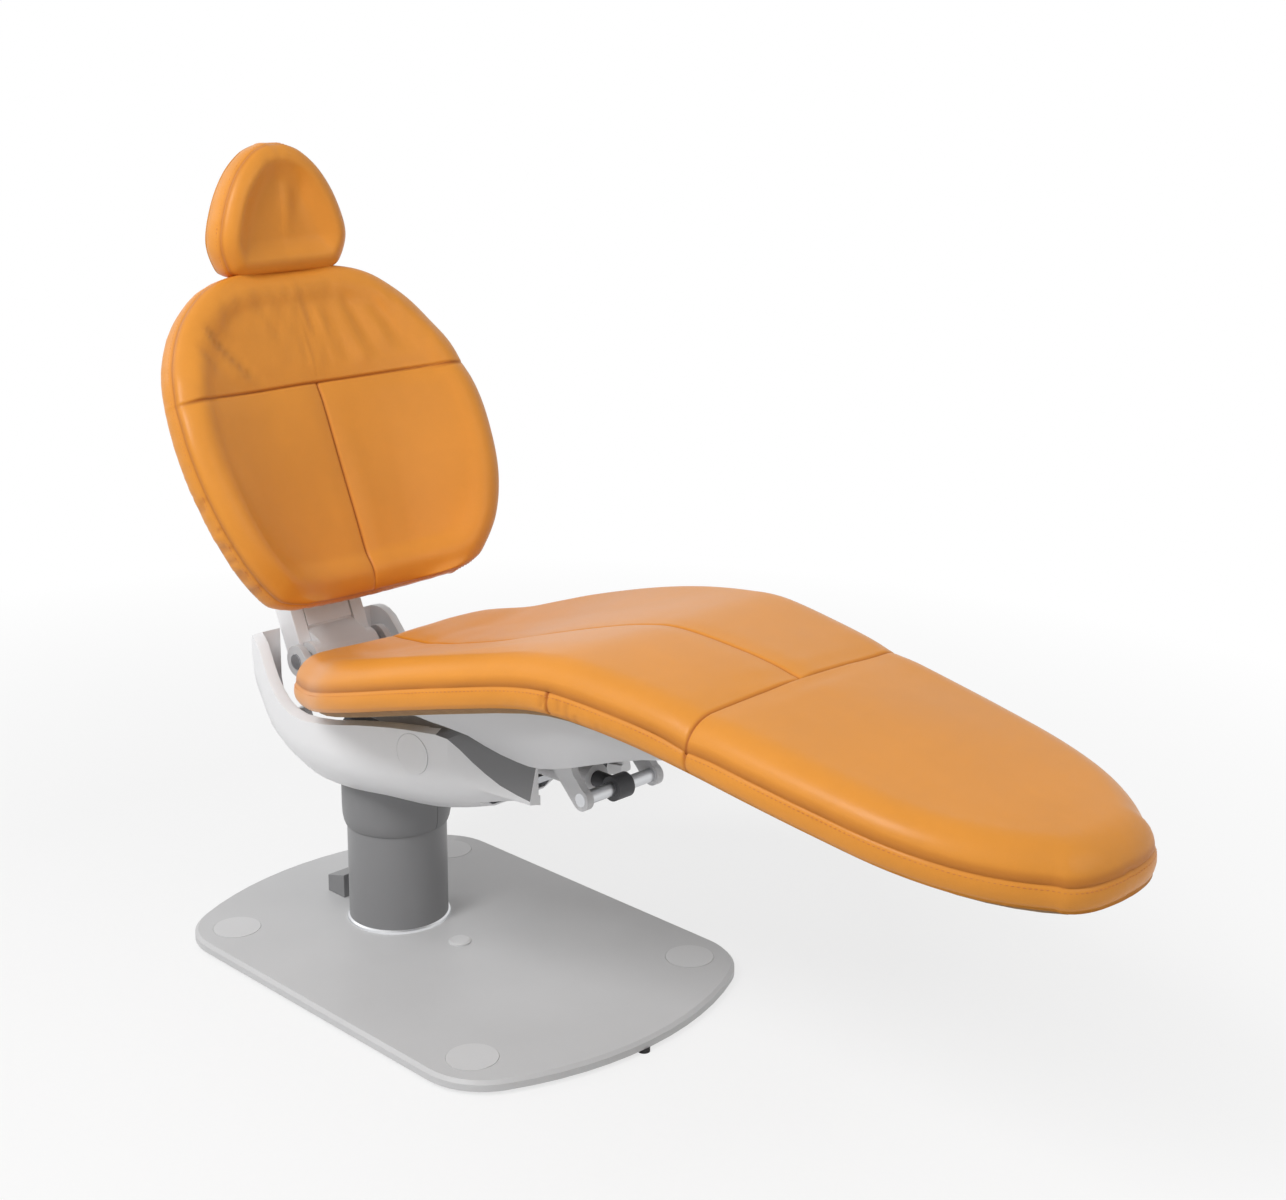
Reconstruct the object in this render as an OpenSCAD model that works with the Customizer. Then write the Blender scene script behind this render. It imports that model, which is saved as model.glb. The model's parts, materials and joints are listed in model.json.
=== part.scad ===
/* [Base] */
// Length of the base plate, head end to toe end
base_l = 856; // [760:1:980]
// Width of the base plate
base_w = 576; // [520:1:660]
// Distance of the plate's middle in front of the column axis
base_shift = 153; // [120:1:200]
// Thickness of the base plate
plate_t = 15; // [12:0.5:24]
// Height of the levelling feet and the floor pad
foot_h = 6; // [4:0.5:12]
// Spacing of the floor anchors along the chair
anchor_dx = 583; // [520:1:620]
// Spacing of the floor anchors across the chair
anchor_dy = 440; // [380:1:470]
// Diameter of the round caps over the anchors
cap_d = 76; // [60:1:84]
// Diameter of the anchor holes
anchor_d = 13; // [10:0.5:16]

/* [Column] */
// Outer diameter of the fixed column tube
column_d = 160; // [150:1:180]
// Wall of the column tubes
tube_wall = 5; // [4:0.5:6]
// Length of the fixed tube above the plate
tube_len = 176; // [170:1:220]
// Downward travel of the lift
lift_down = 100; // [60:1:104]
// Upward travel of the lift
lift_up = 180; // [120:1:186]
// Running clearance of a sliding guide, on the radius
slide_gap = 0.05; // [0.02:0.01:0.08]
// Radial thickness of a guide bush
bush_t = 4; // [3:0.5:5]
// Outer diameter of the collar over the column
collar_d = 175; // [172:1:196]
// Height of the collar's lower end above the floor
collar_z = 183; // [170:1:200]

/* [Housing] */
// Half of the housing's greatest width
housing_half = 152; // [145:1:170]
// Wall of the housing shell
shell_wall = 5; // [4:0.5:6]
// Width of the notch that the back arm swings in
notch_w = 150; // [146:1:160]
// Distance of the seat pivot in front of the column axis
pivot_x = 218; // [205:1:228]
// Height of the seat pivot above the floor
pivot_z = 387; // [382:1:392]
// Diameter of the seat pivot pins
pivot_d = 28; // [20:1:32]

/* [Seat] */
// Length of the seat and leg cushion
seat_l = 1364; // [1300:1:1440]
// Greatest half width of the seat cushion at its piping
seat_half = 289; // [270:1:310]
// Thickness of the seat cushion at its edge
seat_t = 70; // [60:1:78]
// Thickness of the board under the seat cushion
board_t = 12; // [9:0.5:15]
// Gap left round a soft cushion
soft_gap = 0.3; // [0.2:0.1:0.6]
// Half distance between the seat frame rails
rail_y = 75; // [74:0.5:78]
// Thickness of a frame rail and of a lever arm
rail_t = 12; // [8:0.5:14]

/* [Recline drive] */
// Distance of the front cross bar from the column axis
bar_x = 514; // [500:1:530]
// Height of the front cross bar
bar_z = 381; // [376:1:386]
// Diameter of the cross bar
bar_d = 20; // [14:1:24]
// Distance between the back pivot and the line of the drive rod
lever_h = 62; // [58:0.5:66]
// Diameter of the drive rod
rod_d = 18; // [14:0.5:20]
// Diameter of the pin at the drive rod's end
drive_pin_d = 12; // [8:0.5:14]

/* [Back] */
// Angle of the back from upright
recline = 24.3; // [20:0.1:28]
// Height of the back cushion along its slope
back_l = 533; // [500:1:580]
// Greatest half width of the back cushion
back_half = 285; // [265:1:305]
// Thickness of the back cushion at its middle
back_t = 62; // [50:1:75]
// Half width of the back arm
arm_half = 70; // [66:0.5:71]
// Diameter of the back pivot pin
hinge_d = 24; // [18:1:28]
// Travel of the headrest glide bar
glide_travel = 120; // [80:1:140]
// Width of the glide bar
glide_w = 50; // [40:1:60]
// Thickness of the glide bar
glide_t = 10; // [8:0.5:14]

/* [Headrest] */
// Height of the headrest cushion
head_l = 196; // [180:1:220]
// Greatest half width of the headrest cushion
head_half = 120; // [105:1:135]
// Thickness of the headrest cushion
head_t = 52; // [44:1:60]
// Lean of the headrest from upright
head_lean = 4.1; // [0:0.1:8]

/* [Hidden] */
$fn = 48;

light = [0.86, 0.86, 0.86];
steel = [0.62, 0.63, 0.65];
dark = [0.25, 0.25, 0.27];
hide = [0.83, 0.5, 0.25];

// ---- shared functions -------------------------------------------------------------

// Smooth curve through p1 and p2, with p0 and p3 beyond them
function curve(p0, p1, p2, p3, t) = 0.5 * (2 * p1 + (p2 - p0) * t
  + (2 * p0 - 5 * p1 + 4 * p2 - p3) * t * t + (3 * p1 - p0 - 3 * p2 + p3) * t * t * t);

// Rows of a shape with steps rows added evenly between each pair, on a smooth curve
function smooth_rows(rows, steps) = let (last = len(rows) - 1) [
  for (i = [0 : last - 1], k = [0 : steps - 1])
    curve(rows[max(i - 1, 0)], rows[i], rows[i + 1], rows[min(i + 2, last)], k / steps),
  rows[last]];

// Rows with their columns multiplied, and the first column shifted after that
function sized(rows, factors, shift = 0) = [for (r = rows)
  [for (i = [0 : len(r) - 1]) r[i] * factors[i] + (i == 0 ? shift : 0)]];

// Full ring from the points of its right half, which keep off the middle line
function whole_ring(half) = concat(half,
  [for (i = [len(half) - 1 : -1 : 0]) [half[i][0], -half[i][1], half[i][2]]]);

// Points of a circle's arc
function arc(cx, cy, r, a0, a1, n) = [for (i = [0 : n])
  [cx + r * cos(a0 + (a1 - a0) * i / n), cy + r * sin(a0 + (a1 - a0) * i / n)]];

// Triangles that close a ring: a ladder between its two halves, or a fan from its first point
function rungs(m) = [for (j = [0 : m / 2 - 2]) each [[j, j + 1, m - 1 - j], [j + 1, m - 2 - j, m - 1 - j]]];
function fan(m) = [for (j = [1 : m - 2]) [0, j, j + 1]];

function backwards(ring) = [for (i = [len(ring) - 1 : -1 : 0]) ring[i]];

// Solid skin over rings that each have the same number of points.
// Rings run clockwise as seen from the far end, or turned says that they run the other way.
module loft(rings, turned = false, fanned = false) {
  m = len(rings[0]);
  far = (len(rings) - 1) * m;
  ends = fanned ? fan(m) : rungs(m);
  polyhedron([for (r = rings, p = turned ? backwards(r) : r) p], concat(
    [for (f = ends) [f[2], f[1], f[0]]],
    [for (i = [0 : m : far - m], j = [0 : m - 1]) [i + j, i + (j + 1) % m, i + m + (j + 1) % m]],
    [for (i = [0 : m : far - m], j = [0 : m - 1]) [i + j, i + m + (j + 1) % m, i + m + j]],
    [for (f = ends) [far + f[0], far + f[1], far + f[2]]]), convexity = 6);
}

// Round bar along Y between two places
module bar_y(x, z, d, y0, y1) {
  translate([x, y0, z]) rotate([-90, 0, 0]) cylinder(d = d, h = y1 - y0);
}

// Flat plate in the XZ plane, from y0 to y1
module plate_y(points, y0, y1) {
  translate([0, y1, 0]) rotate([90, 0, 0]) linear_extrude(y1 - y0) polygon(points);
}

// The same shape on both sides of the chair
module both_sides() {
  children();
  mirror([0, 1, 0]) children();
}

// ---- base -------------------------------------------------------------------------

plate_top = foot_h + plate_t;
corner_r = 110;
end_r = 505;
plate_bevel = 5;
cap_t = 4;
cap_gap = 0.4;
core_r = column_d / 2 - tube_wall;

// Outline of the plate: straight sides, round corners and bowed ends, drawn inset
function plate_outline(inset) = let (
    hl = base_l / 2 - inset, hw = base_w / 2 - inset, r = corner_r - inset, big = end_r - inset,
    ex = hl - big, cy = hw - r, cx = ex + sqrt((big - r) * (big - r) - cy * cy),
    turn = atan2(cy, cx - ex),
    quarter = concat(arc(ex, 0, big, 0, turn, 6), arc(cx, cy, r, turn + 6, 90, 8)))
  concat(quarter, [for (i = [len(quarter) - 1 : -1 : 0]) [-quarter[i][0], quarter[i][1]]],
    [for (i = [1 : len(quarter) - 1]) [-quarter[i][0], -quarter[i][1]]],
    [for (i = [len(quarter) - 1 : -1 : 1]) [quarter[i][0], -quarter[i][1]]]);

function plate_ring(inset, z) = [for (p = plate_outline(inset)) [p[0] + base_shift, p[1], z]];

module at_anchors() {
  for (x = [-1, 1], y = [-1, 1])
    translate([base_shift + x * anchor_dx / 2, y * anchor_dy / 2, 0]) children();
}

well_z = plate_top - cap_t - 5;
small_cap_d = 36;
cable_hole_d = 24;
cable_x = -130;
module base_plate() color(light) difference() {
  loft([plate_ring(0, foot_h), plate_ring(0, plate_top - plate_bevel), plate_ring(plate_bevel, plate_top)],
    turned = true, fanned = true);
  at_anchors() {
    cylinder(d = anchor_d, h = plate_top + 1);
    translate([0, 0, plate_top - cap_t]) cylinder(d = cap_d, h = cap_t + 1);
    translate([0, 0, well_z]) cylinder(d = 46, h = cap_t + 6);
  }
  cylinder(d = column_d, h = plate_top + 1, $fn = 96);
  translate([base_shift, 0, plate_top - 3]) cylinder(d = 20, h = 4);
  translate([cable_x, 0, 0]) cylinder(d = cable_hole_d, h = plate_top + 1);
}

module anchor_caps() color(light) at_anchors()
  translate([0, 0, plate_top - cap_t]) cylinder(d = cap_d - 2 * cap_gap, h = cap_t + 0.4);

module centre_cap() color(light) translate([base_shift, 0, 0]) rotate_extrude()
  polygon([[0, plate_top - 3], [9.8, plate_top - 3], [9.8, plate_top], [small_cap_d / 2, plate_top],
    [small_cap_d / 2, plate_top + 2], [small_cap_d / 2 - 3, plate_top + 4], [0, plate_top + 5]]);

foot_r = 17;
module levelling_feet() color(dark) {
  for (x = [-1, 1], y = [-1, 1])
    translate([base_shift + x * (anchor_dx / 2 - 80), y * (anchor_dy / 2 + 8), 0])
      cylinder(r = foot_r, h = foot_h);
  translate([base_shift + base_l / 2 - 6, -10, 0]) cylinder(r = 9, h = foot_h);
}

module floor_pad() color(dark) cylinder(d = column_d, h = foot_h);

entry_w = 64;
module cable_entry() color(light) translate([0, 0, plate_top]) difference() {
  plate_y([[-150, 0], [-106, 0], [-106, 40], [-150, 28]], -entry_w / 2, entry_w / 2);
  plate_y([[-146, -1], [-110, -1], [-110, 36], [-146, 25]], -entry_w / 2 + 4, entry_w / 2 - 4);
  translate([-100, 0, 18]) rotate([0, -90, 0]) cylinder(d = 14, h = 20);
}

// ---- telescopic column ------------------------------------------------------------

tube_top = plate_top + tube_len;
tube_foot = foot_h;
guide_h = 25;
slider_h = 20;
stage_bottom = foot_h + 3;
head_gap = 3;
mid_r = core_r - bush_t - slide_gap;
mid_in = mid_r - tube_wall;
inner_r = mid_in - bush_t - slide_gap;
inner_in = inner_r - 6;
head_plate = 12;
head_z = tube_top + head_gap + lift_down;
head_top = head_z + head_plate;
stage_len = head_z - lift_down - stage_bottom;
mid_z = stage_bottom + lift_down / 2;
inner_z = stage_bottom + lift_down;

module column_tube() color(light) difference() {
  translate([0, 0, tube_foot]) cylinder(d = column_d, h = tube_top - tube_foot, $fn = 96);
  translate([0, 0, tube_foot - 1]) cylinder(r = core_r, h = tube_top, $fn = 96);
}

module column_ring() color([0.8, 0.8, 0.8]) translate([0, 0, plate_top]) rotate_extrude($fn = 96)
  polygon([[column_d / 2, 0], [column_d / 2 + 4, 0], [column_d / 2 + 3, 3], [column_d / 2, 5]]);

module column_bush() color(dark) translate([0, 0, tube_top - guide_h]) difference() {
  cylinder(r = core_r, h = guide_h);
  translate([0, 0, -1]) cylinder(r = core_r - bush_t, h = guide_h + 2);
}

barrel_r = 38;
barrel_in = 32;
ram_bottom = foot_h;
ram_floor = 6;
ram_top = tube_top - 9;
module ram_barrel() color(steel) difference() {
  translate([0, 0, ram_bottom]) cylinder(r = barrel_r, h = ram_top - ram_bottom);
  translate([0, 0, ram_bottom + ram_floor]) cylinder(r = barrel_in, h = ram_top);
}

module mid_tube() color(steel) translate([0, 0, mid_z]) difference() {
  union() {
    cylinder(r = mid_r, h = stage_len - 1, $fn = 96);
    cylinder(r = core_r - slide_gap, h = slider_h, $fn = 96);
  }
  translate([0, 0, -1]) cylinder(r = mid_in, h = stage_len + 2, $fn = 96);
}

module mid_bush() color(dark) translate([0, 0, mid_z + stage_len - 1 - guide_h]) difference() {
  cylinder(r = mid_in, h = guide_h);
  translate([0, 0, -1]) cylinder(r = mid_in - bush_t, h = guide_h + 2);
}

sleeve_r = barrel_in - slide_gap;
sleeve_in = sleeve_r - 6;
sleeve_len = ram_top - ram_bottom - ram_floor - 2;
module ram_sleeve() color(steel) translate([0, 0, ram_bottom + ram_floor + lift_down / 2]) difference() {
  cylinder(r = sleeve_r, h = sleeve_len);
  translate([0, 0, 2]) cylinder(r = sleeve_in, h = sleeve_len);
}

flange_in = 44;
head_bolt_r = 50;
head_bolt_d = 8;
module at_head_bolts() {
  for (i = [0 : 5]) rotate([0, 0, i * 60]) translate([head_bolt_r, 0, 0]) children();
}

module inner_column() color(steel) difference() {
  translate([0, 0, inner_z]) union() {
    cylinder(r = inner_r, h = stage_len, $fn = 96);
    cylinder(r = mid_in - slide_gap, h = slider_h, $fn = 96);
  }
  translate([0, 0, inner_z - 1]) cylinder(r = inner_in, h = stage_len - 11);
  translate([0, 0, head_z - 13]) cylinder(r = flange_in, h = 14);
  at_head_bolts() translate([0, 0, head_z - 13]) cylinder(d = head_bolt_d + 0.2, h = 14);
}

module ram_plunger() color([0.8, 0.8, 0.82]) {
  translate([0, 0, ram_bottom + ram_floor + lift_down + 2])
    cylinder(r = sleeve_in - slide_gap, h = head_z - ram_bottom - ram_floor - lift_down - 2);
}

// ---- carriage: what the lift carries and the seat tilts on --------------------------

cheek_y = rail_y + rail_t + 1;
cheek_t = 12;
jack_x = pivot_x + 67;
jack_y = -48;
jack_base = head_top + 16;
tongue_end = jack_x + 21;
module carriage_frame() color(steel) difference() {
  union() {
    translate([0, 0, head_z]) cylinder(d = collar_d, h = head_plate);
    both_sides() {
      plate_y([[-60, head_z], [110, head_z], [185, 342], [pivot_x + 30, 358], [pivot_x + 30, 395],
        [pivot_x + 8, 408], [150, 398], [-30, head_z + 36], [-60, head_z + 26]],
        cheek_y, cheek_y + cheek_t);
      bar_y(pivot_x, pivot_z, 52, cheek_y, cheek_y + cheek_t + 4);
    }
    plate_y([[40, head_z], [110, head_z], [110, head_top], [40, head_top]],
      -cheek_y - 1, cheek_y + 1);
    plate_y([[40, head_z], [200, head_z], [tongue_end, jack_base - 10], [tongue_end, jack_base],
      [190, head_top + 10], [40, head_top]], -62, 62);
  }
  both_sides() bar_y(pivot_x, pivot_z, pivot_d, cheek_y - 3, cheek_y + cheek_t + 8);
  at_head_bolts() {
    translate([0, 0, head_z - 1]) cylinder(d = head_bolt_d + 0.2, h = head_plate + 2);
    translate([0, 0, head_top - 6]) cylinder(d = head_bolt_d + 6, h = 7);
  }
}

module carriage_bolts() color(dark) at_head_bolts() {
  translate([0, 0, head_z - 12]) cylinder(d = head_bolt_d, h = head_plate + 6);
  translate([0, 0, head_top - 6]) cylinder(d = head_bolt_d + 5, h = 5.5);
}

collar_lip = 32;
seam_turn = 10;
module half_collar(turn) color(light) rotate([0, 0, turn]) rotate_extrude(angle = 179.6, $fn = 96)
  let (r = collar_d / 2, i = column_d / 2 + 1.2)
  polygon([[i, collar_z], [i + 1.2, collar_z + 0.5], [r - 2.6, collar_z + 7], [r - 0.7, collar_z + 17],
    [r, collar_z + collar_lip], [r, head_z], [i, head_z]]);
module collar_right() half_collar(seam_turn);
module collar_left() half_collar(seam_turn + 180);

// Housing rows: place, half width, keel, floor edge, chine, mid side, rim, shoulder half width, shoulder
housing_rows = [
  [-214, 118, 430, 433, 440, 455, 467, 106, 469], [-206, 126, 375, 385, 405, 440, 473, 114, 474],
  [-192, 132, 325, 345, 375, 425, 474, 120, 476], [-168, 138, 290, 312, 345, 410, 460, 126, 466],
  [-135, 144, 268, 288, 320, 370, 415, 132, 424], [-95, 148, 256, 274, 304, 350, 386, 136, 392],
  [-45, 151, 251, 268, 298, 345, 377, 139, 382], [30, 152, 252, 272, 302, 350, 388, 140, 392],
  [100, 149, 258, 282, 308, 360, 404, 137, 408], [175, 143, 268, 294, 318, 372, 418, 131, 422],
  [240, 134, 284, 306, 330, 380, 425, 122, 430], [285, 124, 298, 316, 338, 385, 424, 112, 436],
  [330, 115, 312, 328, 345, 372, 398, 100, 436], [380, 106, 326, 340, 352, 362, 374, 92, 426],
  [437, 100, 342, 350, 356, 360, 364, 88, 412]];
housing_even = sized(housing_rows, [1, housing_half / 152, 1, 1, 1, 1, 1, housing_half / 152, 1]);
front_notch_x = 300;
notch_z = 335;
cap_plate_d = 62;
cap_y = 138 * housing_half / 152;

function housing_ring(r) = whole_ring([[r[0], 0.4 * r[1], r[2] + 2], [r[0], 0.7 * r[1], r[3]],
  [r[0], 0.88 * r[1], r[4]], [r[0], 0.985 * r[1], r[5] * 0.5 + r[4] * 0.5], [r[0], r[1], r[5]],
  [r[0], r[1], r[6]], [r[0], r[7], r[8]]]);
function cavity_ring(r) = let (y = r[7] - shell_wall) whole_ring([
  [r[0] + 6, 0.5 * y, r[2] + shell_wall + 2],
  [r[0] + 6, 0.85 * y, r[3] + shell_wall + 12], [r[0] + 6, y, r[4] + 14], [r[0] + 6, y, 620]]);

module housing() color(light) difference() {
  loft([for (r = smooth_rows(housing_even, 2)) housing_ring(r)], turned = true);
  loft([for (r = smooth_rows(housing_even, 2)) if (r[0] > -210) cavity_ring(r)], turned = true);
  translate([0, 0, 200]) cylinder(d = collar_d + 1, h = 200);
  translate([-260, -notch_w / 2, notch_z]) cube([120, notch_w, 300]);
  translate([-260, -lever_in - lever_t - 4, 296]) cube([110, 2 * (lever_in + lever_t + 4), 100]);
  translate([front_notch_x, -80, 200]) cube([200, 160, 400]);
  both_sides() cap_place() cylinder(d = cap_plate_d + 0.8, h = 30);
}

cap_turn = 7;
module cap_place() translate([pivot_x, cap_y - 5, pivot_z]) rotate([0, 0, -cap_turn]) rotate([-90, 0, 0]) children();
module side_caps() color(light) both_sides() cap_place() cylinder(d = cap_plate_d, h = 4.5);

pin_end = cheek_y + cheek_t + 6;
module pivot_pins() color(steel) both_sides() {
  bar_y(pivot_x, pivot_z, pivot_d, rail_y - 4, pin_end);
  bar_y(pivot_x, pivot_z, pivot_d + 10, rail_y - 8, rail_y - 0.5);
}

power_r = 24;
module power_unit() color(dark) {
  translate([-50, -46, head_top + power_r + 2]) rotate([0, 90, 0]) {
    cylinder(r = power_r, h = 84);
    translate([0, 0, 84]) cylinder(r = power_r - 5, h = 20);
  }
  translate([-46, -60, head_top]) cube([70, 28, 14]);
}

module control_box() color([0.3, 0.33, 0.36]) {
  translate([-62, 26, head_top]) cube([100, 46, 42]);
  translate([38, 34, head_top + 8]) cube([8, 30, 12]);
}

module jack_body() color(dark) translate([jack_x, jack_y, jack_base]) difference() {
  cylinder(r = 18, h = 52);
  translate([0, 0, 8]) cylinder(r = 9 + slide_gap, h = 60);
}

module jack_rod() color([0.8, 0.8, 0.82]) translate([jack_x, jack_y, 0]) {
  translate([0, 0, jack_base + 12]) cylinder(r = 9, h = jack_top - jack_base - 17);
  translate([0, 0, jack_top - 5]) cylinder(r1 = 9, r2 = 3, h = 5);
}

// ---- seat ---------------------------------------------------------------------------

// Seat rows: place, half width at the piping, height of the side crest, depth of the hollow
seat_rows = [
  [-28, 112, 492, 2], [-12, 162, 497, 4], [20, 200, 505, 10], [94, 234, 518, 18], [188, 276, 547, 25],
  [282, 289, 574, 25], [376, 284, 599, 19], [471, 268, 621, 12], [565, 245, 639, 5], [640, 236, 645, 0],
  [753, 222, 635, -4], [847, 213, 621, -5], [941, 207, 606, -5], [1035, 199, 591, -5], [1129, 187, 576, -5],
  [1204, 165, 565, -5], [1260, 134, 557, -4], [1304, 94, 551, -3], [1329, 54, 548, -2], [1336, 24, 548, -1]];
seat_even = smooth_rows(sized(seat_rows, [seat_l / 1364, seat_half / 289, 1, 1]), 2);

// Ring of the seat cushion: a dished top, a rolled crest, a piping line and a flat bottom
function seat_ring(r) = let (w = r[1], z = r[2], t = seat_t, b = r[2] - seat_t) whole_ring([
  [r[0], 0.16 * w, z - r[3]], [r[0], 0.42 * w, z - 0.78 * r[3]], [r[0], 0.68 * w, z - 0.35 * r[3]],
  [r[0], 0.86 * w, z], [r[0], 0.95 * w, z - 0.1 * t], [r[0], 0.985 * w, z - 0.25 * t],
  [r[0], w, z - 0.47 * t], [r[0], 0.99 * w, z - 0.75 * t], [r[0], 0.95 * w, b]]);

module seat_cushion() color(hide) loft([for (r = seat_even) seat_ring(r)]);

board_inset = 25;
function board_top(r) = r[2] - seat_t - soft_gap;
module seat_board() color(dark) loft([for (r = seat_even) if (r[0] > 5 && r[0] < seat_l - 50)
  let (y = r[1] - board_inset, z = board_top(r))
  whole_ring([[r[0], y, z], [r[0], y, z - board_t]])]);

function under_board(x) = lookup(x, [for (r = seat_even) [r[0], board_top(r) - board_t]]);

// Shell under the seat: place, share of the seat's half width, half width below, height below
shell_rows = [
  [262, 0.80, 120, 470], [330, 0.80, 138, 458], [400, 0.80, 148, 449], [470, 0.80, 152, 446],
  [520, 0.80, 154, 450], [580, 0.81, 156, 468], [650, 0.83, 156, 494], [720, 0.84, 154, 517],
  [790, 0.84, 150, 533]];
module seat_shell() color(light) difference() {
  loft([for (r = smooth_rows(shell_rows, 2))
    let (x = r[0], w = lookup(x, [for (s = seat_even) [s[0], s[1]]]) * r[1], t = under_board(x) - 0.3, y = r[2],
      z = r[3], m = (t + z) / 2)
    whole_ring([[x, y - 8, z + 4], [x, (w + y) / 2 + 1, m], [x, w - 5, t], [x, w, t - 1],
      [x, (w + y) / 2 + 7, m - 2], [x, y, z]])]);
  translate([200, -92, 380]) cube([292, 184, 140]);
}

module leg_supports() color(steel) both_sides()
  loft([for (r = seat_even) if (r[0] > 600 && r[0] < seat_l - 160) let (z = board_top(r) - board_t)
    [[r[0], 60, z], [r[0], 100, z], [r[0], 100, z - 8], [r[0], 60, z - 8]]]);

// Place of the back pivot, and the line that the drive rod runs on
hinge_x = -140;
hinge_z = 435;
bar_reach = bar_x - hinge_x;
drive_turn = atan2(bar_z - hinge_z + lever_h, bar_reach);
rail_out = rail_y + rail_t;
module seat_frame() color(steel) both_sides() difference() {
  union() {
    plate_y([[hinge_x - 24, hinge_z + 4], [hinge_x - 12, hinge_z - 22], [hinge_x + 80, 396], [90, 388],
      [pivot_x - 28, 364], [pivot_x + 26, 364], [300, 402], [400, 432], [450, 445], [575, 520],
      [575, under_board(575) - 0.3], [430, under_board(430) - 12], [pivot_x + 70, under_board(pivot_x + 70) - 12],
      [120, under_board(120) - 10], [40, under_board(40) - 6], [-20, 408], [hinge_x + 60, hinge_z - 6],
      [hinge_x, hinge_z + 26], [hinge_x - 20, hinge_z + 18]], rail_y, rail_out);
    bar_y(hinge_x, hinge_z, 52, rail_y, rail_out);
    bar_y(pivot_x, pivot_z, 50, rail_y, rail_out);
  }
  bar_y(hinge_x, hinge_z, hinge_d, rail_y - 1, rail_out + 1);
  bar_y(pivot_x, pivot_z, pivot_d + 2 * slide_gap, rail_y - 1, rail_out + 1);
  for (p = arm_bolts) bar_y(p[0], p[1], arm_bolt_d, rail_y - 1, rail_out + 1);
}

jack_top = jack_base + 84;
module cross_plate(x0, x1, z) plate_y([[x0, z], [x1, z], [x1, under_board(x1) - 0.3],
  [x0, under_board(x0) - 0.3]], -rail_y, rail_y);
module seat_cross() color(steel) {
  cross_plate(30, 52, under_board(30) - 14);
  cross_plate(jack_x - 15, jack_x + 15, jack_top + 0.3);
  cross_plate(530, 560, under_board(530) - 16);
}

arm_bolt_d = 8;
arm_bolts = [[418, 452], [446, 462]];
module lever_arms() color(light) both_sides() difference() {
  union() {
    plate_y([[392, 436], [440, 430], [bar_x - 10, bar_z - 13], [bar_x + 12, bar_z + 8], [500, 415],
      [478, 470], [400, 476]], rail_y - rail_t, rail_y);
    bar_y(bar_x, bar_z, bar_d + 12, rail_y - rail_t, rail_y);
  }
  bar_y(bar_x, bar_z, bar_d, rail_y - rail_t - 1, rail_y + 1);
  for (p = arm_bolts) bar_y(p[0], p[1], arm_bolt_d, rail_y - rail_t - 1, rail_y + 1);
}

module seat_screws() color(dark) both_sides() for (p = arm_bolts) {
  bar_y(p[0], p[1], arm_bolt_d - 0.1, rail_y - rail_t, rail_out);
  bar_y(p[0], p[1], arm_bolt_d + 6, rail_y - rail_t - 5, rail_y - rail_t);
}

module cross_bar() color([0.75, 0.75, 0.76]) bar_y(bar_x, bar_z, bar_d, -rail_y, rail_y);

// Drive along its own line: the axis runs from the bar back towards the column
module drive_line(from_bar) translate([bar_x, 0, bar_z]) rotate([0, -90 - drive_turn, 0])
  translate([0, 0, from_bar]) children();

eye_w = 30;
module drive_eye() color(dark) difference() {
  union() {
    bar_y(bar_x, bar_z, bar_d + 16, -eye_w / 2, eye_w / 2);
    drive_line(10) cylinder(r = 12, h = 35);
  }
  bar_y(bar_x, bar_z, bar_d, -eye_w, eye_w);
}

barrel_front = 45;
barrel_back = 380;
drive_r = 22;
module drive_barrel() color(light) drive_line(barrel_front) difference() {
  union() {
    cylinder(r = drive_r, h = barrel_back - barrel_front);
    translate([0, 0, barrel_back - barrel_front]) cylinder(r = 15, h = 12);
  }
  translate([0, 0, 12]) cylinder(d = rod_d + 2 * slide_gap, h = barrel_back);
}

motor_r = 19;
module drive_motor() color(dark) drive_line(barrel_front + 40) translate([0, drive_r + motor_r, 0]) {
  cylinder(r = motor_r, h = 120);
  translate([0, 0, 120]) cylinder(r = motor_r - 6, h = 14);
}

// Lever under the back pivot: its lean at rest and the pin's place along the drive line
lever_rest = 26;
hinge_reach = bar_reach * cos(drive_turn) - (hinge_z - bar_z) * sin(drive_turn);
rod_back = hinge_reach + lever_h * cos(drive_turn) * tan(lever_rest);
rod_front = barrel_front + 105;
module drive_rod() color([0.8, 0.8, 0.82]) {
  drive_line(rod_front) cylinder(d = rod_d, h = rod_back - rod_front);
  drive_line(rod_back) rotate([90, 0, 0]) translate([0, 0, -14]) cylinder(r = 11, h = 28);
  drive_line(rod_back) rotate([90, 0, 0]) translate([0, 0, -30]) cylinder(d = drive_pin_d, h = 60);
}

module hinge_pin() color(steel) bar_y(hinge_x, hinge_z, hinge_d, -rail_out - 2, rail_out + 2);

// ---- back ---------------------------------------------------------------------------

// In the back's own frame X is forward out of the cushion and Z runs up its slope
back_x = -31;
back_z = 565;
module back_frame() translate([back_x, 0, back_z]) rotate([0, -recline, 0]) children();
hub_n = (hinge_x - back_x) * cos(recline) + (hinge_z - back_z) * sin(recline);
hub_s = -(hinge_x - back_x) * sin(recline) + (hinge_z - back_z) * cos(recline);

hub_d = 52;
arm_front = -162;
arm_rear = -192;
arm_top = 290;
back_bolts = [[30, 80], [30, 230]];
back_bolt_d = 10;
module at_back_bolts() both_sides() for (p = back_bolts)
  translate([0, p[0], p[1]]) rotate([0, 90, 0]) children();

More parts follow.
